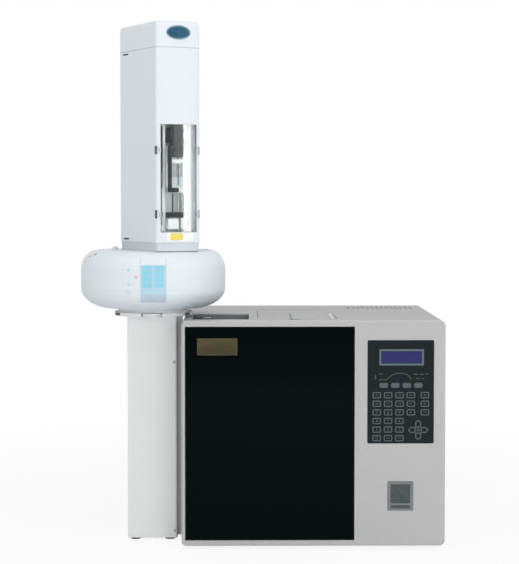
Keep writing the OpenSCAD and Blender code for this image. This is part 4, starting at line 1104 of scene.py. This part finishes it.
addFinish("frameTeal", (92, 110, 116), (80, 98, 104), (124, 138, 144), 900, (0.35, 0.48), bump=0.12,
          drift=0.1, driftScale=40.0, edgeRadius=0.0004)
addFinish("ductGrey", (176, 178, 180), (166, 168, 170), (196, 198, 200), 700, (0.4, 0.55), drift=0.05)
# Mid-grey that paints the shade of the open injector bay on its sheets; the rear baffle is this grey too
addFinish("linerAndBayShade", (138, 143, 145), (122, 127, 129), (160, 164, 166), 600, (0.45, 0.6), bump=0.25,
          drift=0.1, edgeRadius=0.0006)
# Dark grey for the roof seams and the lid's rib, and for the painted shadow line beside the roof ridge
addFinish("seamAndShadowDark", (104, 106, 107), (90, 92, 93), (140, 142, 143), 600, (0.45, 0.6), drift=0.2,
          driftScale=30.0, edgeRadius=0.0004)
# Pale copy of the housing grey that paints the highlight on the roof ridge
addFinish("ridgeHighlightPale", (222, 223, 224), (210, 211, 212), (238, 239, 240), 700, (0.35, 0.5), bump=0.15,
          drift=0.06, edgeRadius=0.0005)
addFinish("screenTint", (186, 186, 187), (172, 172, 173), (196, 196, 197), 900, (0.45, 0.6))
addFinish("skirtTint", (208, 216, 222), (200, 208, 215), (224, 230, 235), 1100, (0.38, 0.5), bump=0.1)
addFinish("fieldPale", (226, 232, 236), (218, 226, 232), (236, 240, 243), 1200, (0.3, 0.42), bump=0.12,
          drift=0.08, driftScale=60.0, edgeRadius=0.0003)
addFinish("fieldLilac", (182, 200, 216), (190, 206, 222), (206, 218, 230), 1200, (0.3, 0.42), bump=0.12,
          drift=0.12, driftScale=50.0, edgeRadius=0.0003)
dress(makeDisplayFrame(), "frameTeal", "housing")
dress(makeDuct(), "ductGrey", "housing")
for name, (low, high, soften, finish, body, slot) in trim.items():
    dress(makeTrim(name, low, high, soften), finish, body)
for name, body, *shape in catches:
    dress(makeCatch(name, *shape), "tabDark", body)
dress(makeFootSkirt(), "skirtTint", "tower")
dress(makeStandScrews(), "steel", "housing")
for name, low, high, finish in filmFields:
    dress(makeFilmField(name, low, high), finish, "housing")
print("small fittings made")


# Floor, world and lamps

studio = {
    "floorTone": 0.86,
    "floorLift": {"From Min": 0.75, "From Max": 1.9, "To Min": 0.88, "To Max": 1.0},  # over the distance
    "worldLight": 0.55,
    "darkSide": {"From Min": -0.93, "From Max": 0.3, "To Min": 0.05, "To Max": 1.0},  # from front to back
    # name, place, aim, width, height, power
    "lamps": (
        ("topLamp", (0.1, -1.2, 2.7), (0, 0, 0.5), 2.6, 1.8, 15),
        ("leftLamp", (-2.2, -1.9, 1.5), (0, 0, 0.6), 1.4, 1.8, 12),
        ("rightLamp", (2.3, -1.7, 1.7), (0, 0, 0.6), 1.4, 1.8, 16),
        ("frontLamp", (0.5, -3.1, 0.44), (0, 0, 0.5), 1.8, 0.8, 19),
        ("shineLamp", (1.65, -1.0, 0.8), (-0.2, -0.2, 0.8), 0.47, 0.46, 8),
    ),
}


def makeFloor():
    # Pale paper that the camera sees lifted to white away from the object, with the object's shadow on it
    bpy.ops.mesh.primitive_grid_add(x_subdivisions=8, y_subdivisions=8, size=12, location=(0, 0, -0.0005))
    floor = bpy.context.object
    floor.name = "studioFloor"
    tree, shader, end = startFinish("floorPaper")
    tone = useGroup(tree, toneGroup, (-300, 0), Color=(studio["floorTone"],) * 3 + (1,), Drift=0.01, Scale=0.4)
    setInputs(shader, {"Roughness": 0.9, "Specular IOR Level": 0.1})
    glow = addNode(tree, "Emission", (500, 300))
    ray = addNode(tree, "LightPath", (-100, 500))
    place = addNode(tree, "TexCoord", (-500, 700))
    reach = addNode(tree, "VectorMath", (-300, 700), operation="LENGTH")
    fade = addNode(tree, "MapRange", (-100, 700), studio["floorLift"], interpolation_type="SMOOTHSTEP")
    lift = addNode(tree, "Math", (300, 500), operation="MULTIPLY")
    mix = addNode(tree, "MixShader", (700, 200))
    wire(tree, (tone, "Color", shader, "Base Color"), (place, "Object", reach, 0),
         (reach, "Value", fade, "Value"), (ray, "Is Camera Ray", lift, 0), (fade, "Result", lift, 1),
         (lift, 0, mix, "Fac"), (shader, 0, mix, 1), (glow, 0, mix, 2), (mix, 0, end, "Surface"))
    floor.data.materials.append(finishes["floorPaper"])


def makeWorld():
    # White behind the object for the camera, glass and gloss; darker on the camera's side, as a room is
    world = bpy.data.worlds.new("studioWorld")
    world.use_nodes = True
    tree = world.node_tree
    tree.nodes.clear()
    place = addNode(tree, "TexCoord", (-900, -200))
    parts = addNode(tree, "SeparateXYZ", (-700, -200))
    ahead = addNode(tree, "MapRange", (-500, -200), studio["darkSide"])
    ray = addNode(tree, "LightPath", (-900, 300))
    seen = addNode(tree, "Math", (-500, 300), operation="MAXIMUM")
    glossy = addNode(tree, "Math", (-300, 0), operation="MULTIPLY")
    gloss = addNode(tree, "Math", (-100, 100), operation="MAXIMUM")
    direct = addNode(tree, "Math", (-300, -400), operation="MAXIMUM")
    soft = addNode(tree, "Math", (-100, -300), {0: 1.0}, operation="SUBTRACT")
    faint = addNode(tree, "Math", (100, -300), {1: studio["worldLight"]}, operation="MULTIPLY")
    total = addNode(tree, "Math", (250, 0), operation="ADD")
    back = addNode(tree, "Background", (400, 0), {"Color": (1, 1, 1, 1)})
    end = addNode(tree, "OutputWorld", (650, 0))
    wire(tree, (place, "Generated", parts, 0), (parts, "Y", ahead, "Value"),
         (ray, "Is Camera Ray", seen, 0), (ray, "Is Transmission Ray", seen, 1),
         (ray, "Is Glossy Ray", glossy, 0), (ahead, "Result", glossy, 1), (seen, 0, gloss, 0),
         (glossy, 0, gloss, 1), (seen, 0, direct, 0), (ray, "Is Glossy Ray", direct, 1), (direct, 0, soft, 1),
         (soft, 0, faint, 0), (gloss, 0, total, 0), (faint, 0, total, 1), (total, 0, back, "Strength"),
         (back, 0, end, "Surface"))
    scene.world = world


def makeLamp(name, place, aim, width, height, power):
    data = bpy.data.lights.new(name, "AREA")
    data.shape = "RECTANGLE"
    data.size = width
    data.size_y = height
    data.energy = power
    lamp = bpy.data.objects.new(name, data)
    scene.collection.objects.link(lamp)
    lamp.location = place
    lamp.rotation_euler = (Vector(aim) - Vector(place)).to_track_quat("-Z", "Y").to_euler()
    lamp.visible_glossy = name in ("topLamp", "shineLamp")
    if name == "shineLamp":  # only shines in glossy faces, such as the tower's window
        lamp.visible_diffuse = lamp.visible_camera = False


makeFloor()
makeWorld()
for lamp in studio["lamps"]:
    makeLamp(*lamp)
print("floor, world and lamps made")
